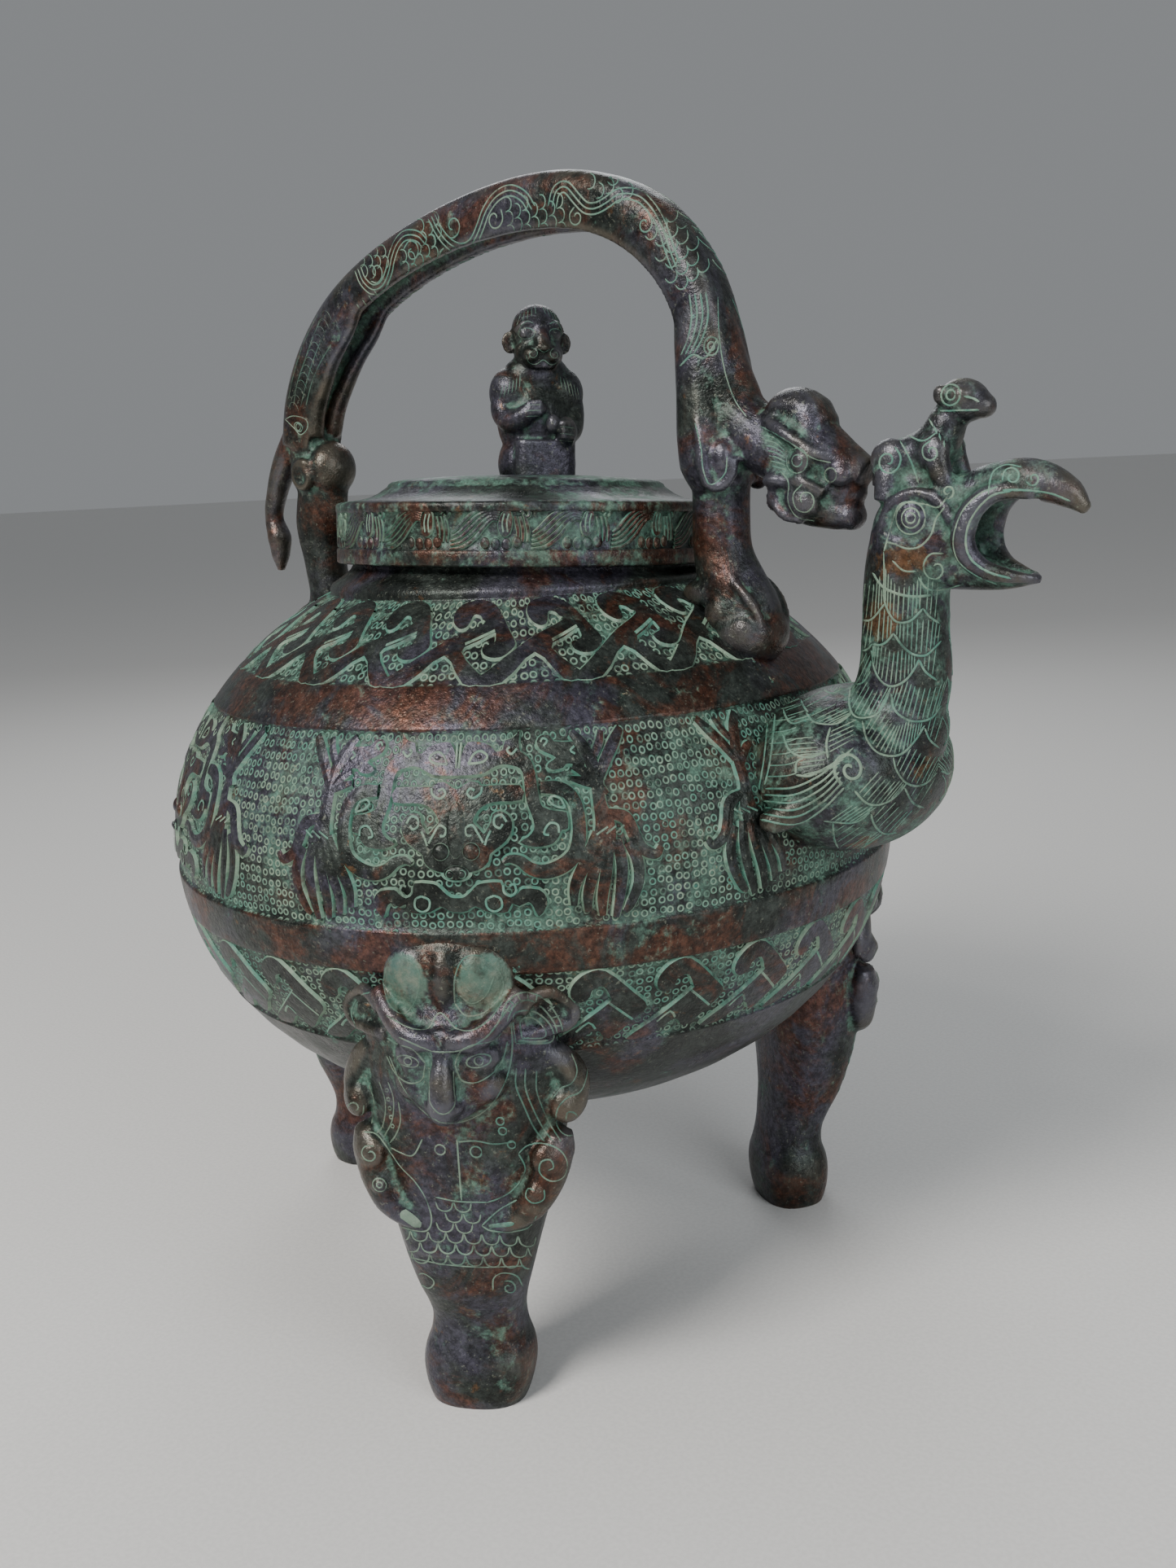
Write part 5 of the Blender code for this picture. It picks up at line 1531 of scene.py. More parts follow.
def spout_lines(piece):
    """Scales, barbs and wing feathers, then the rings and curls of the bird's head and the small beast."""
    body = Tracing(piece, from_eye(-14))

    def draw(line, half, lift, smooth=True):
        body.stroke(line, half, lift, mirror=True, smooth=smooth, keep=near_side)

    for scale in NECK_SCALES:
        draw(scale, 0.3, 0.16)
    for line in barbs(NECK_SCALES):
        draw(line, 0.2, 0.10, smooth=False)
    draw(((110.5, 191.5), (112.5, 188.8), (116, 187.2), (120, 186.6), (124, 187)), 0.35, 0.2)
    wing = ((103, 144.2), (97, 138.3), (90, 134.3), (81, 134.5))
    upper = ((101, 150), (97, 146.5), (90, 143), (82.6, 142))
    for k in range(6):
        draw(between(wing, upper, k / 5), 0.28, 0.16)
    draw(spiral((104.5, 148.5), 4.3, -120, -560, 0.12, 15), 0.38, 0.25)
    draw(((84.5, 165), (82.5, 150), (80.5, 140), (80.8, 134.5)), 0.35, 0.2)
    draw(((86.2, 164), (84.2, 150), (82.4, 143)), 0.35, 0.2)
    for k in range(7):
        top = 160.5 - 2.6 * k
        draw(((84.6 - 0.25 * k, top), (88, top + 0.6), (91, top + 1.6)), 0.2, 0.1)
    head = Tracing(piece, from_eye(-7))
    strokes = [
        ring((115.8, 202.4), 1.1), ring((115.8, 202.4), 2.1), ring((115.8, 202.4), 3.4),
        ((109.5, 195.5), (112, 203), (114, 205.6), (119, 205.2), (122, 204.5), (124, 206.5)),
        spiral((124.2, 207.6), 1.5, -90, 420, 0.3),
        ((110, 197.5), (112, 197), (115, 196), (118, 196.5), (120.5, 199), (121.5, 202), (123.5, 204.5)),
        ((135, 208.3), (131, 206.9), (127.3, 203.4), (125.4, 198), (126.4, 193.6), (130, 190.6),
         (135, 188.6)),
        ((138, 207.4), (133.5, 206.4), (129.6, 202.4), (128.2, 198), (129.2, 194), (133, 191.2),
         (138, 189.8)),
        ((150, 205), (146, 206.6), (141, 207.4), (136, 207.6)),
        spiral((138, 210.2), 2.2, 200, -470, 0.2), spiral((142.4, 209.6), 1.5, 200, 430, 0.2),
        ((133, 206.8), (133.8, 211), (136.6, 212.6), (140, 212)),
        spiral((121.5, 191.8), 3.6, 60, 430, 0.2),
        ((117.5, 190), (119.5, 187.6), (123, 187.4), (127, 188.4)),
        ((111.5, 193.5), (114, 191.4), (117, 191.2)),
        ring((124.8, 227), 1), ring((124.8, 227), 2.1),
        ((122.5, 224), (126.6, 223.8), (131, 223.6)), ((127.6, 226.6), (129.6, 226), (131, 225.2)),
        ((121.4, 229.2), (119.8, 227.4), (120.4, 225.4), (121.8, 226)),
        spiral((120.5, 215.8), 2.4, 90, 470, 0.2), spiral((110.6, 214.4), 3.3, 60, -520, 0.15, 13),
        ((113.5, 218.4), (116, 214), (117.6, 209.6)), ((115, 219.6), (118.6, 218.2), (121.6, 219.6)),
    ]
    for k in range(5):
        strokes.append(((119.0 + 1.1 * k, 224.0 - 1.5 * k), (120.2 + 0.8 * k, 222.2 - 1.4 * k)))
    for line in strokes:
        head.stroke(line, 0.26, 0.14, mirror=True, keep=near_side)
    return [body.finished("spout_feathers", 0.88), head.finished("spout_head_lines")]


def monkey():
    """A seated monkey: round back, square lap, one paw on its chest and one fist that holds a fruit."""
    base = LID_TOP

    def up(points):
        return [(x, y, z + base, r) for x, y, z, r in points]

    shapes = [
        blob((-1, 0, base + 4), (9, 10, 8.5)),
        blob((-0.8, 0, base + 14.5), (8.4, 10.4, 12.5)),
        blob((-0.4, 0, base + 25.2), (6.6, 8.8, 6)),
        blob((1, 0, base + 35.2), (6.5, 6.4, 7.6)),
        blob((2.6, 0, base + 30.6), (5.4, 6.4, 5)),
        blob((5.6, 0, base + 29.8), (3.6, 5.2, 3.4)),
        *pair((-0.5, 6.2, base + 20.8), (6.2, 6.2, 6.8)),
        # Face: smooth nose ridge, muzzle of two lobes, hooded eyes and flat ears
        rod(up([(3.4, 0, 38.4, 3), (4.8, 0, 36.6, 2.7), (6.4, 0, 34.2, 2.3), (7.8, 0, 32, 2.2)])),
        blob((0.4, 0, base + 36.4), (6.6, 6.5, 6.6)),
        blob((9, 0, base + 31.4), (1.3, 2, 1.3)),
        *pair((7.2, 2.4, base + 29.6), (2.4, 2.5, 2.2)),
        *rod_pair(up([(6.4, 1.6, 38, 0.7), (5.8, 4.4, 37.4, 0.8), (3.6, 6, 35.6, 0.8)])),
        *pair((5.6, 3.7, base + 35), (1.2, 1.7, 1.3)),
        rod(up([(6, -3.8, 27.6, 0.7), (8.2, 0, 26.9, 0.9), (6, 3.8, 27.6, 0.7)])),
        *pair((-0.4, 6.9, base + 33.4), (1.2, 1.7, 2.9)),
        *rod_pair(up([(0.4, 6.4, 35.9, 0.5), (0.2, 8, 35.2, 0.6), (0.2, 8.2, 32, 0.6),
                      (0.4, 6.8, 30.9, 0.5)])),
        # Lap: a block with a flat front, and the hips beside it
        *[rod(up([(6.4, y, -2, 3.1), (6.4, y, 8.8, 3.1)])) for y in (-4, -2, 0, 2, 4, 5.6)],
        *pair((-0.5, 6.2, base + 3), (6.5, 4, 6)),
        # Arms, paw with fingers, fist and what it holds
        rod(up([(0.4, -8.2, 21, 3.6), (1.4, -8.8, 15.8, 3.5), (5, -7.2, 13.6, 2.9),
                (8.4, -3.6, 15.6, 2.4), (9, -0.8, 17, 1.9)])),
        rod(up([(0.4, 8.2, 21, 3.6), (1.4, 8.8, 15.2, 3.5), (4.8, 7.8, 11.2, 3), (8.4, 5.4, 10.6, 2.6)])),
        blob((8.6, -2.2, base + 16.4), (1.9, 3, 2.2)),
        blob((8.8, 5.8, base + 10.8), (2.4, 2.8, 3.8)),
        blob((9.6, 2.2, base + 12.6), (1.9, 1.8, 2.5)),
    ]
    for k in range(3):
        shapes.append(rod(up([(9.4, -4.4, 17.8 - 1.4 * k, 0.7), (10.4, -0.6, 18.0 - 1.4 * k, 0.7)])))
        shapes.append(rod(up([(10, 7.4, 12.4 - 1.7 * k, 0.8), (11.2, 4, 12.8 - 1.7 * k, 0.8)])))
    return weathered(cut_below(melted(shapes, "monkey", 0.5), base - 1.2))


def monkey_lines(piece):
    """Mouth, eyes, brows, fur and fingers, seen from in front of the monkey as (side, height)."""
    def sight(y, z):
        return Vector((60, y, z + LID_TOP)), Vector((-1, 0, 0))

    tracing = Tracing(piece, sight)
    lines = [((-4.4, 29.4), (-3.6, 27.8), (-1.8, 27.3), (0, 28.4), (1.8, 27.3), (3.6, 27.8), (4.4, 29.4)),
             ((-1.6, 31), (0, 30.2), (1.6, 31))]
    for side in (-1, 1):
        lines.append(ring((side * 3.7, 35), 1.8, 0.75))
        lines.append([(side * a, b) for a, b in ((2, 37.4), (3.6, 38), (5, 37), (5.8, 35))])
        lines.append(spiral((side * 2.9, 29.8), 1.5, 90, side * 380, 0.3))
        for k in range(6):
            lines += [
                ((side * (1 + 0.9 * k), 42.2 - 0.5 * k), (side * (1.3 + 1.1 * k), 39.8 - 0.6 * k)),
                ((side * (5.2 + 0.9 * k), 24.8 - 0.5 * k), (side * (5.6 + 1.0 * k), 21.6 - 0.6 * k)),
            ]
    for k in range(3):
        lines.append(((-5, 17.1 - 1.4 * k), (-0.6, 17.3 - 1.4 * k)))
        lines.append(((7.6, 11.5 - 1.7 * k), (3.8, 11.9 - 1.7 * k)))
    for line in lines:
        tracing.stroke(line, 0.17, 0.08)
    return tracing.finished("monkey_lines", 0.6)


def seated(obj):
    """Turn the monkey on the lid and lean it with the mouth."""
    co = points_of(obj)
    c, s = math.cos(MONKEY_AZIMUTH), math.sin(MONKEY_AZIMUTH)
    co[:, :2] = co[:, :2] @ np.array([[c, s], [-s, c]]) + np.array(MONKEY_PLACE)
    set_points(obj, lean(co))
    return obj


# Materials

class Web:
    """Short hands for wiring one node tree."""

    def __init__(self, tree):
        self.tree = tree

    def node(self, kind, **settings):
        made = self.tree.nodes.new(kind)
        for key, value in settings.items():
            setattr(made, key, value)
        return made

    def feed(self, socket, value):
        if isinstance(value, bpy.types.NodeSocket):
            self.tree.links.new(value, socket)
        elif value is not None:
            socket.default_value = value

    def math(self, operation, a, b=None, clamp=False):
        made = self.node("ShaderNodeMath", operation=operation, use_clamp=clamp)
        self.feed(made.inputs[0], a)
        self.feed(made.inputs[1], b)
        return made.outputs[0]

    def plus(self, a, b):
        return self.math("ADD", a, b)

    def minus(self, a, b):
        return self.math("SUBTRACT", a, b)

    def times(self, a, b):
        return self.math("MULTIPLY", a, b)

    def most(self, a, b):
        return self.math("MAXIMUM", a, b)

    def vector(self, operation, *given):
        made = self.node("ShaderNodeVectorMath", operation=operation)
        for socket, value in zip(made.inputs, given):
            self.feed(socket, value)
        return made.outputs["Value" if operation == "LENGTH" else "Vector"]

    def mix(self, share, a, b):
        made = self.node("ShaderNodeMix", data_type="RGBA")
        self.feed(made.inputs[0], share)
        self.feed(made.inputs[6], a)
        self.feed(made.inputs[7], b)
        return made.outputs[2]

    def noise(self, place, scale, detail=4.0, rough=0.55, warp=0.0):
        made = self.node("ShaderNodeTexNoise")
        self.feed(made.inputs["Vector"], place)
        made.inputs["Scale"].default_value = scale
        made.inputs["Detail"].default_value = detail
        made.inputs["Roughness"].default_value = rough
        made.inputs["Distortion"].default_value = warp
        return made.outputs[0]

    def band(self, value, low, high, to_low=0.0, to_high=1.0):
        made = self.node("ShaderNodeMapRange", interpolation_type="SMOOTHSTEP")
        self.feed(made.inputs[0], value)
        for k, number in enumerate((low, high, to_low, to_high)):
            self.feed(made.inputs[k + 1], number)
        return made.outputs[0]

    def flag(self, name):
        return self.node("ShaderNodeAttribute", attribute_name=name).outputs["Fac"]


def new_group(name, inputs, outputs):
    """A node group with inputs (name, kind, default) and outputs (name, kind)."""
    group = bpy.data.node_groups.new(name, "ShaderNodeTree")
    for label, kind, default in inputs:
        socket = group.interface.new_socket(label, in_out="INPUT", socket_type=kind)
        if default is not None:
            socket.default_value = default
    for label, kind in outputs:
        group.interface.new_socket(label, in_out="OUTPUT", socket_type=kind)
    web = Web(group)
    return group, web, web.node("NodeGroupInput").outputs, web.node("NodeGroupOutput").inputs


def deeper(tone, share):
    """A darker shade of a colour, in linear values."""
    return (tone[0] * share, tone[1] * share, tone[2] * share, 1.0)


def make_patina_group():
    """Old bronze: dark metal, red oxide, verdigris, pale fillings, crusts, dust, and worn edges lightened
    with a painted sheen.
    """
    shares = (("Red", 0.3), ("Green", 0.3), ("Hollow", 0.0), ("Edge", 0.0), ("Filled", 0.0),
              ("Crust", 0.2), ("Ochre", 0.0))
    inputs = [(label, "NodeSocketFloat", share) for label, share in shares]
    group, web, given, out = new_group(
        "old_bronze", [("Place", "NodeSocketVector", None), *inputs],
        (("Color", "NodeSocketColor"), ("Roughness", "NodeSocketFloat"),
         ("Metallic", "NodeSocketFloat"), ("Height", "NodeSocketFloat")))
    tones = bpy.context.scene.he_colours
    place = given["Place"]
    broad = web.noise(place, 26.0, 5.0, 0.6, 0.6)
    middle = web.noise(place, 95.0, 6.0, 0.65, 0.4)
    fine = web.noise(place, 420.0, 5.0, 0.65)
    grain = web.noise(place, 1500.0, 3.0, 0.6)
    metal = web.mix(web.band(middle, 0.35, 0.66), deeper(tones.metal, 0.31), tuple(tones.metal))
    metal = web.mix(web.band(broad, 0.46, 0.60, 0.0, 0.7), metal, (0.066, 0.060, 0.088, 1))
    # Red-brown oxide, with orange where it is thickest
    reds = web.noise(place, 52.0, 9.0, 0.7, 0.7)
    limit = web.minus(0.70, web.times(given["Red"], 0.36))
    red = web.band(reds, web.minus(limit, 0.05), web.plus(limit, 0.08))
    metal = web.mix(web.times(red, 0.8), metal,
                    web.mix(web.band(fine, 0.35, 0.7), deeper(tones.oxide, 0.38), tuple(tones.oxide)))
    stains = web.plus(web.noise(place, 120.0, 6.0, 0.7, 0.3), web.times(given["Ochre"], 0.24))
    ochre = web.times(web.band(stains, 0.62, 0.70), 0.6)
    metal = web.mix(ochre, metal, (0.15, 0.075, 0.030, 1))
    # Verdigris over the metal, thicker in hollows
    greens = web.plus(web.noise(place, 78.0, 9.0, 0.74, 0.5),
                      web.times(web.minus(fine, 0.5), 0.35))
    greens = web.minus(greens, web.times(given["Ochre"], 0.12))
    limit = web.minus(0.68, web.times(given["Green"], 0.34))
    limit = web.minus(limit, web.times(given["Hollow"], 0.2))
    limit = web.plus(limit, web.times(given["Edge"], 0.12))
    green = web.band(greens, web.minus(limit, 0.07), web.plus(limit, 0.09))
    verdigris = web.mix(web.band(fine, 0.3, 0.72), deeper(tones.verdigris, 0.33), tuple(tones.verdigris))
    color = web.mix(web.times(green, 0.78), metal, verdigris)
    turquoise = web.band(web.noise(place, 190.0, 6.0, 0.7), 0.66, 0.72)
    color = web.mix(web.times(turquoise, web.times(green, 0.7)), color, (0.04, 0.26, 0.20, 1))
    # Fine light and dark mottling
    mottle = web.band(web.noise(place, 620.0, 6.0, 0.8), 0.36, 0.66, 0.5, 1.6)
    color = web.vector("SCALE", color, None, None, mottle)
    # Worn edges: lighter warm and blue-violet tones on the convex forms, partly bare metal and partly a
    # painted sheen
    rubbed_and_sheen = web.times(web.band(given["Edge"], 0.25, 0.8), web.band(middle, 0.35, 0.6, 0.2, 0.75))
    bare_and_sheen = web.mix(web.band(broad, 0.42, 0.58), (0.125, 0.105, 0.080, 1), (0.105, 0.105, 0.125, 1))
    color = web.mix(rubbed_and_sheen, color, bare_and_sheen)
    # Pale fillings of the lines, worn off here and there
    worn = web.band(web.noise(place, 150.0, 6.0, 0.7), 0.32, 0.52, 0.3, 1.0)
    filled = web.times(given["Filled"], worn)
    tint = web.mix(web.band(web.noise(place, 36.0, 4.0, 0.6), 0.42, 0.58),
                   tuple(tones.filling), (0.175, 0.265, 0.190, 1))
    tint = web.mix(web.band(fine, 0.4, 0.8, 0.0, 0.45), tint, (0.42, 0.47, 0.36, 1))
    color = web.mix(filled, color, tint)
    # Crusts of cream and bright green
    crusts = web.noise(place, 110.0, 7.0, 0.72)
    limit = web.minus(0.80, web.times(given["Crust"], 0.25))
    crust = web.band(crusts, limit, web.plus(limit, 0.03))
    color = web.mix(web.times(crust, 0.75), color,
                    web.mix(web.band(fine, 0.44, 0.56), (0.09, 0.28, 0.21, 1), (0.38, 0.34, 0.21, 1)))
    # Pale dust in specks
    specks = web.band(web.noise(place, 900.0, 3.0, 0.7), 0.60, 0.70, 0.0, 0.4)
    color = web.mix(specks, color, (0.26, 0.28, 0.22, 1))
    dust = web.most(web.times(green, 0.8), web.most(filled, crust))
    web.feed(out["Color"], color)
    shine = web.band(middle, 0.3, 0.7, 0.26, 0.44)
    shine = web.plus(shine, web.times(dust, 0.28))
    shine = web.minus(shine, web.times(rubbed_and_sheen, 0.12))
    web.feed(out["Roughness"], web.math("ADD", shine, web.times(specks, 0.3), clamp=True))
    web.feed(out["Metallic"], web.band(dust, 0.0, 0.8, 0.6, 0.0))
    height = web.times(middle, 0.9)
    for part, share in ((fine, 0.55), (grain, 0.3), (crust, 0.35)):
        height = web.plus(height, web.times(part, share))
    web.feed(out["Height"], height)
    return group


def make_ring_group():
    """Small punched rings, one in each cell of the piece's own map."""
    group, web, given, out = new_group(
        "punched_rings", (("Map", "NodeSocketVector", None),),
        (("Ring", "NodeSocketFloat"), ("Eye", "NodeSocketFloat")))
    chance = web.node("ShaderNodeTexWhiteNoise", noise_dimensions="2D")
    web.feed(chance.inputs["Vector"], web.vector("FLOOR", given["Map"]))
    shake = web.vector("MULTIPLY_ADD", chance.outputs["Color"], (0.34, 0.34, 0.0), (-0.67, -0.67, 0.0))
    centred = web.vector("ADD", web.vector("FRACTION", given["Map"]), shake)
    reach = web.vector("LENGTH", web.vector("MULTIPLY", centred, (2.05, 2.2, 0.0)))
    away = web.math("ABSOLUTE", web.minus(reach, 0.62))
    # Some rings are punched fainter than others
    faint = web.band(chance.outputs["Value"], 0.0, 0.3, 0.35, 1.0)
    web.feed(out["Ring"], web.times(web.band(away, 0.13, 0.27, 1.0, 0.0), faint))
    web.feed(out["Eye"], web.band(reach, 0.42, 0.56, 1.0, 0.0))
    return group


def new_finish(name):
    """Short hands for a new material's nodes, its shader's inputs and the place on the object."""
    material = bpy.data.materials.new(name)
    material.use_nodes = True
    web = Web(material.node_tree)
    place = web.node("ShaderNodeTexCoord").outputs["Object"]
    return web, material.node_tree.nodes["Principled BSDF"].inputs, place


def bronze_material(name, patina, red, green, rings=None, crust=0.35, ground_green=0.0, plate_red=0.2):
    """Cast bronze whose flagged lines are filled and whose ground may carry punched rings."""
    web, shader, place = new_finish(name)
    look = web.node("ShaderNodeGroup", node_tree=patina)
    filled = web.flag("line")
    hollow = web.flag("hollow")
    height = look.outputs["Height"]
    if rings is not None:
        ground = web.flag("ground")
        punch = web.node("ShaderNodeGroup", node_tree=rings)
        web.feed(punch.inputs["Map"], web.node("ShaderNodeUVMap", uv_map="rings").outputs[0])
        ring = web.times(punch.outputs["Ring"], ground)
        eye = web.times(punch.outputs["Eye"], ground)
        filled = web.most(filled, web.times(ring, 0.95))
        hollow = web.most(hollow, web.times(ground, ground_green))
        height = web.plus(height, web.minus(web.times(eye, 0.25), web.times(ring, 0.5)))
    given = {
        "Place": place, "Red": web.plus(web.times(web.flag("plate"), plate_red), red), "Green": green,
        "Hollow": hollow, "Edge": web.flag("edge"), "Filled": filled, "Crust": crust,
        "Ochre": web.flag("ochre"),
    }
    for label, value in given.items():
        web.feed(look.inputs[label], value)
    for label, source in (("Base Color", "Color"), ("Roughness", "Roughness"), ("Metallic", "Metallic")):
        web.feed(shader[label], look.outputs[source])
    bump = web.node("ShaderNodeBump")
    bump.inputs["Strength"].default_value = 0.7
    bump.inputs["Distance"].default_value = bpy.context.scene.he_sizes.grain
    web.feed(bump.inputs["Height"], height)
    web.feed(shader["Normal"], bump.outputs["Normal"])


def shared_finishes():
    """The finishes, made once and found again by each operator."""
    if "bowl_patina" not in bpy.data.materials:
        patina = make_patina_group()
        bronze_material("bowl_patina", patina, red=0.34, green=0.12, rings=make_ring_group(), crust=0.55,
                        ground_green=0.58, plate_red=0.22)
        bronze_material("ornament_patina", patina, red=0.36, green=0.0, plate_red=0.08)
        bronze_material("lid_patina", patina, red=0.22, green=0.45, plate_red=0.4)
        bronze_material("leg_patina", patina, red=0.45, green=0.2)
        bronze_material("handle_patina", patina, red=0.48, green=0.2)
        bronze_material("spout_patina", patina, red=0.36, green=0.52)
        bronze_material("monkey_patina", patina, red=0.35, green=0.16, crust=0.3)
    return bpy.data.materials


def floor_material():
    """A pale even floor with a faint weave."""
    web, shader, place = new_finish("pale_floor")
    weave = web.noise(place, 900.0, 2.0, 0.5)
    tone = bpy.context.scene.he_colours.floor
    web.feed(shader["Base Color"], web.mix(web.band(weave, 0.3, 0.7), deeper(tone, 0.93), tuple(tone)))
    shader["Roughness"].default_value = 0.9
    return bpy.data.materials["pale_floor"]


# Stage

def area_light(name, place, size, power, tint):
    """A soft lamp that looks at the middle of the vessel."""
    data = bpy.data.lights.new(name, "AREA")
    data.shape = "RECTANGLE"
    data.size = size[0]
    data.size_y = size[1]
    data.energy = power
    data.color = tint
    light = bpy.data.objects.new(name, data)
    bpy.context.collection.objects.link(light)
    light.location = place
    light.rotation_euler = (Vector((0.0, 0.0, 0.14)) - Vector(place)).to_track_quat("-Z", "Y").to_euler()


def stage():
    """The floor, the even light all round and the three lamps."""
    power = bpy.context.scene.he_stage
    bpy.ops.mesh.primitive_plane_add(size=40.0, location=(0, 0, 0))
    floor = place_applied(bpy.context.object)
    floor.name = "floor"
    floor.data.materials.append(floor_material())
    world = bpy.data.worlds.new("studio") if bpy.context.scene.world is None else bpy.context.scene.world
    bpy.context.scene.world = world
    world.use_nodes = True
    sky = world.node_tree.nodes["Background"].inputs
    sky["Color"].default_value = (0.80, 0.83, 0.86, 1)
    sky["Strength"].default_value = power.room
    area_light("key", (-0.05, -0.95, 0.95), (0.45, 0.45), power.key, (1.0, 0.97, 0.93))
    area_light("fill", (0.95, -0.25, 0.5), (0.6, 0.6), power.fill, (0.93, 0.97, 1.0))
    area_light("back", (-0.6, 0.7, 0.8), (0.6, 0.4), power.back, (0.95, 0.98, 1.0))


def camera():
    """The camera that the photo was taken with, as fitted to it."""
    data = bpy.data.cameras.new("camera")
    data.lens = 33.645
    data.sensor_width = 36.0
    data.clip_start = 0.02
    data.clip_end = 20.0
    view = bpy.data.objects.new("camera", data)
    bpy.context.collection.objects.link(view)
    view.location = (EYE.x * MM + AXIS_X * MM, EYE.y * MM, EYE.z * MM)
    view.rotation_euler = [math.radians(a) for a in (77.799, 2.903, 38.399)]
    bpy.context.scene.camera = view


# Settings, operators and panel

class HE_PG_sizes(bpy.types.PropertyGroup):
    """Sizes of the surface work"""
    relief: FloatProperty(
        name="Frieze relief", description="How deep the ground of the friezes lies under their plates",
        default=FRIEZE_RELIEF, min=0.0002, max=0.0015, subtype="DISTANCE", unit="LENGTH")
    line_width: FloatProperty(
        name="Line width", description="Width of the filled lines on the legs, handle, spout and figure",
        default=LINE_WIDTH, min=0.0002, max=0.0012, subtype="DISTANCE", unit="LENGTH")
    grain: FloatProperty(
        name="Grain depth", description="Depth of the pitting that the finish shows",
        default=0.0006, min=0.0, max=0.002, subtype="DISTANCE", unit="LENGTH")


class HE_PG_colours(bpy.types.PropertyGroup):
    """Colours of the old bronze and of the floor"""
    metal: FloatVectorProperty(
        name="Metal", description="Bare darkened bronze", subtype="COLOR", size=4,
        default=(0.042, 0.052, 0.045, 1.0), min=0.0, max=1.0)
    oxide: FloatVectorProperty(
        name="Red oxide", description="Red-brown oxide on the metal", subtype="COLOR", size=4,
        default=(0.125, 0.048, 0.028, 1.0), min=0.0, max=1.0)
    verdigris: FloatVectorProperty(
        name="Verdigris", description="Green corrosion over the metal", subtype="COLOR", size=4,
        default=(0.080, 0.180, 0.130, 1.0), min=0.0, max=1.0)
    filling: FloatVectorProperty(
        name="Line filling", description="Pale green in the lines and rings", subtype="COLOR", size=4,
        default=(0.078, 0.220, 0.165, 1.0), min=0.0, max=1.0)
    floor: FloatVectorProperty(
        name="Floor", description="Pale floor under the vessel", subtype="COLOR", size=4,
        default=(0.82, 0.81, 0.79, 1.0), min=0.0, max=1.0)


class HE_PG_stage(bpy.types.PropertyGroup):
    """Power of the studio lights"""
    key: FloatProperty(
        name="Key light", description="Light in front of the vessel", default=15.0, min=0.0,
        subtype="POWER", unit="POWER")
    fill: FloatProperty(
        name="Fill light", description="Light from the right", default=4.0, min=0.0, subtype="POWER",
        unit="POWER")
    back: FloatProperty(
        name="Back light", description="Light from behind", default=2.5, min=0.0, subtype="POWER",
        unit="POWER")
    room: FloatProperty(
        name="Room light", description="Strength of the even light all round", default=0.3, min=0.0,
        subtype="FACTOR")


def finish_pieces(objects, material, replaced=()):
    """Settle pieces with one finish; the first of them stands for the replaced nodes."""
    finishes = shared_finishes()
    for k, obj in enumerate(objects):
        settle(obj, finishes[material], replaced if k == 0 else ())


class HE_OT_stage(bpy.types.Operator):
    """Lay the pale floor, hang the soft lights and set the camera"""
    bl_idname = "he.stage"
    bl_label = "Stage"

    def execute(self, context):
        stage()
        camera()
        return {"FINISHED"}


class HE_OT_bowl(bpy.types.Operator):
    """Turn the hollow bowl with its bands and punched ground"""
    bl_idname = "he.bowl"
    bl_label = "Bowl"

    def execute(self, context):
        made = bowl()
        made.name = "bowl_cast"
        finish_pieces([made], "bowl_patina", CASTING)
        return {"FINISHED"}


class HE_OT_friezes(bpy.types.Operator):
    """Lay the hooks, masks and birds on the bowl's friezes"""
    bl_idname = "he.friezes"
    bl_label = "Friezes"

    def execute(self, context):
        finish_pieces([shoulder_frieze(), lower_frieze(), *mask_frieze()], "ornament_patina")
        return {"FINISHED"}


class HE_OT_legs(bpy.types.Operator):
    """Model one mask leg and stand a copy at each place"""
    bl_idname = "he.legs"
    bl_label = "Legs"

    def execute(self, context):
        pattern = leg_pattern()
        threads = leg_lines(pattern)
        for name, stance in LEGS.items():
            pieces = []
            for source, ending in ((pattern, "_cast"), (threads, "_lines")):
                piece = copied(source, name + ending)
                set_points(piece, leg_stance(points_of(piece), *stance))
                pieces.append(piece)
            kept_in_wall(pieces[0])
            finish_pieces(pieces, "leg_patina", (name,))
        bpy.data.objects.remove(threads, do_unlink=True)
        bpy.data.objects.remove(pattern, do_unlink=True)
        return {"FINISHED"}


class HE_OT_handle(bpy.types.Operator):
    """Cast the arch handle with its rear beast and dragon head"""
    bl_idname = "he.handle"
    bl_label = "Handle"

    def execute(self, context):
        made = handle()
        made.name = "handle_cast"
        finish_pieces([made, *handle_lines(made)], "handle_patina", ("handle",))
        return {"FINISHED"}


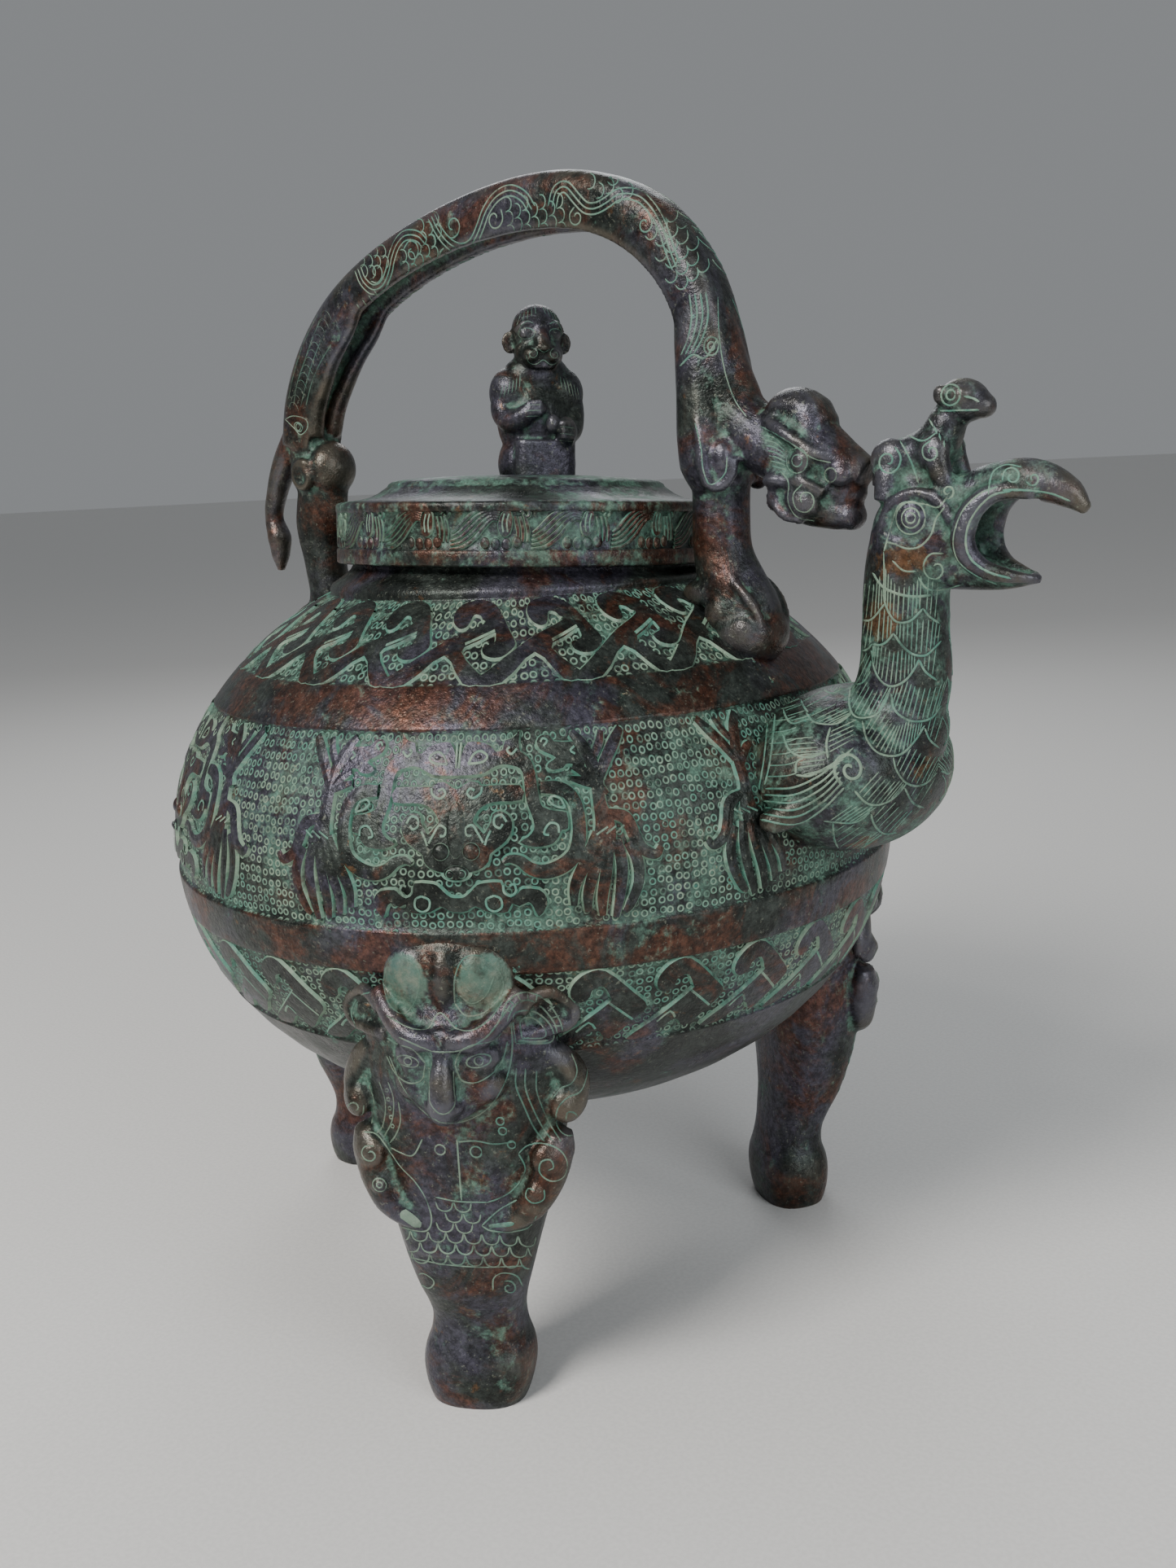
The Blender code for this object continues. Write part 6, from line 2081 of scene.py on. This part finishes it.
class HE_OT_spout(bpy.types.Operator):
    """Cast the bird spout with the small beast on its crown"""
    bl_idname = "he.spout"
    bl_label = "Spout"

    def execute(self, context):
        made = spout()
        made.name = "spout_cast"
        finish_pieces([made, *spout_lines(made)], "spout_patina", ("spout",))
        return {"FINISHED"}


class HE_OT_lid(bpy.types.Operator):
    """Turn the loose lid with its band and seat the monkey on it"""
    bl_idname = "he.lid"
    bl_label = "Lid"

    def execute(self, context):
        made = lid()
        made.name = "lid_cast"
        finish_pieces([made, lid_band()], "lid_patina", ("lid",))
        figure = monkey()
        seat = [seated(obj) for obj in (figure, monkey_lines(figure))]
        finish_pieces(seat, "monkey_patina")
        return {"FINISHED"}


class HE_PT_vessel(bpy.types.Panel):
    """Buttons for each piece of the vessel"""
    bl_idname = "HE_PT_vessel"
    bl_label = "Bronze He Vessel"
    bl_space_type = "VIEW_3D"
    bl_region_type = "UI"
    bl_category = "He Vessel"

    def draw(self, context):
        scene = context.scene
        for group in (scene.he_sizes, scene.he_colours, scene.he_stage):
            for name in group.__annotations__:
                self.layout.prop(group, name)
        for made in OPERATORS:
            self.layout.operator(made.bl_idname)


OPERATORS = (HE_OT_stage, HE_OT_bowl, HE_OT_friezes, HE_OT_legs, HE_OT_handle, HE_OT_spout, HE_OT_lid)


GROUPS = {"he_sizes": HE_PG_sizes, "he_colours": HE_PG_colours, "he_stage": HE_PG_stage}


def register():
    for made in (*GROUPS.values(), *OPERATORS, HE_PT_vessel):
        bpy.utils.register_class(made)
    for name, group in GROUPS.items():
        setattr(bpy.types.Scene, name, PointerProperty(type=group))


def unregister():
    for name in GROUPS:
        delattr(bpy.types.Scene, name)
    for made in reversed((*GROUPS.values(), *OPERATORS, HE_PT_vessel)):
        bpy.utils.unregister_class(made)


def main():
    register()
    bpy.ops.he.stage()
    bpy.ops.he.bowl()
    bpy.ops.he.friezes()
    bpy.ops.he.legs()
    bpy.ops.he.handle()
    bpy.ops.he.spout()
    bpy.ops.he.lid()


if __name__ == "__main__":
    main()
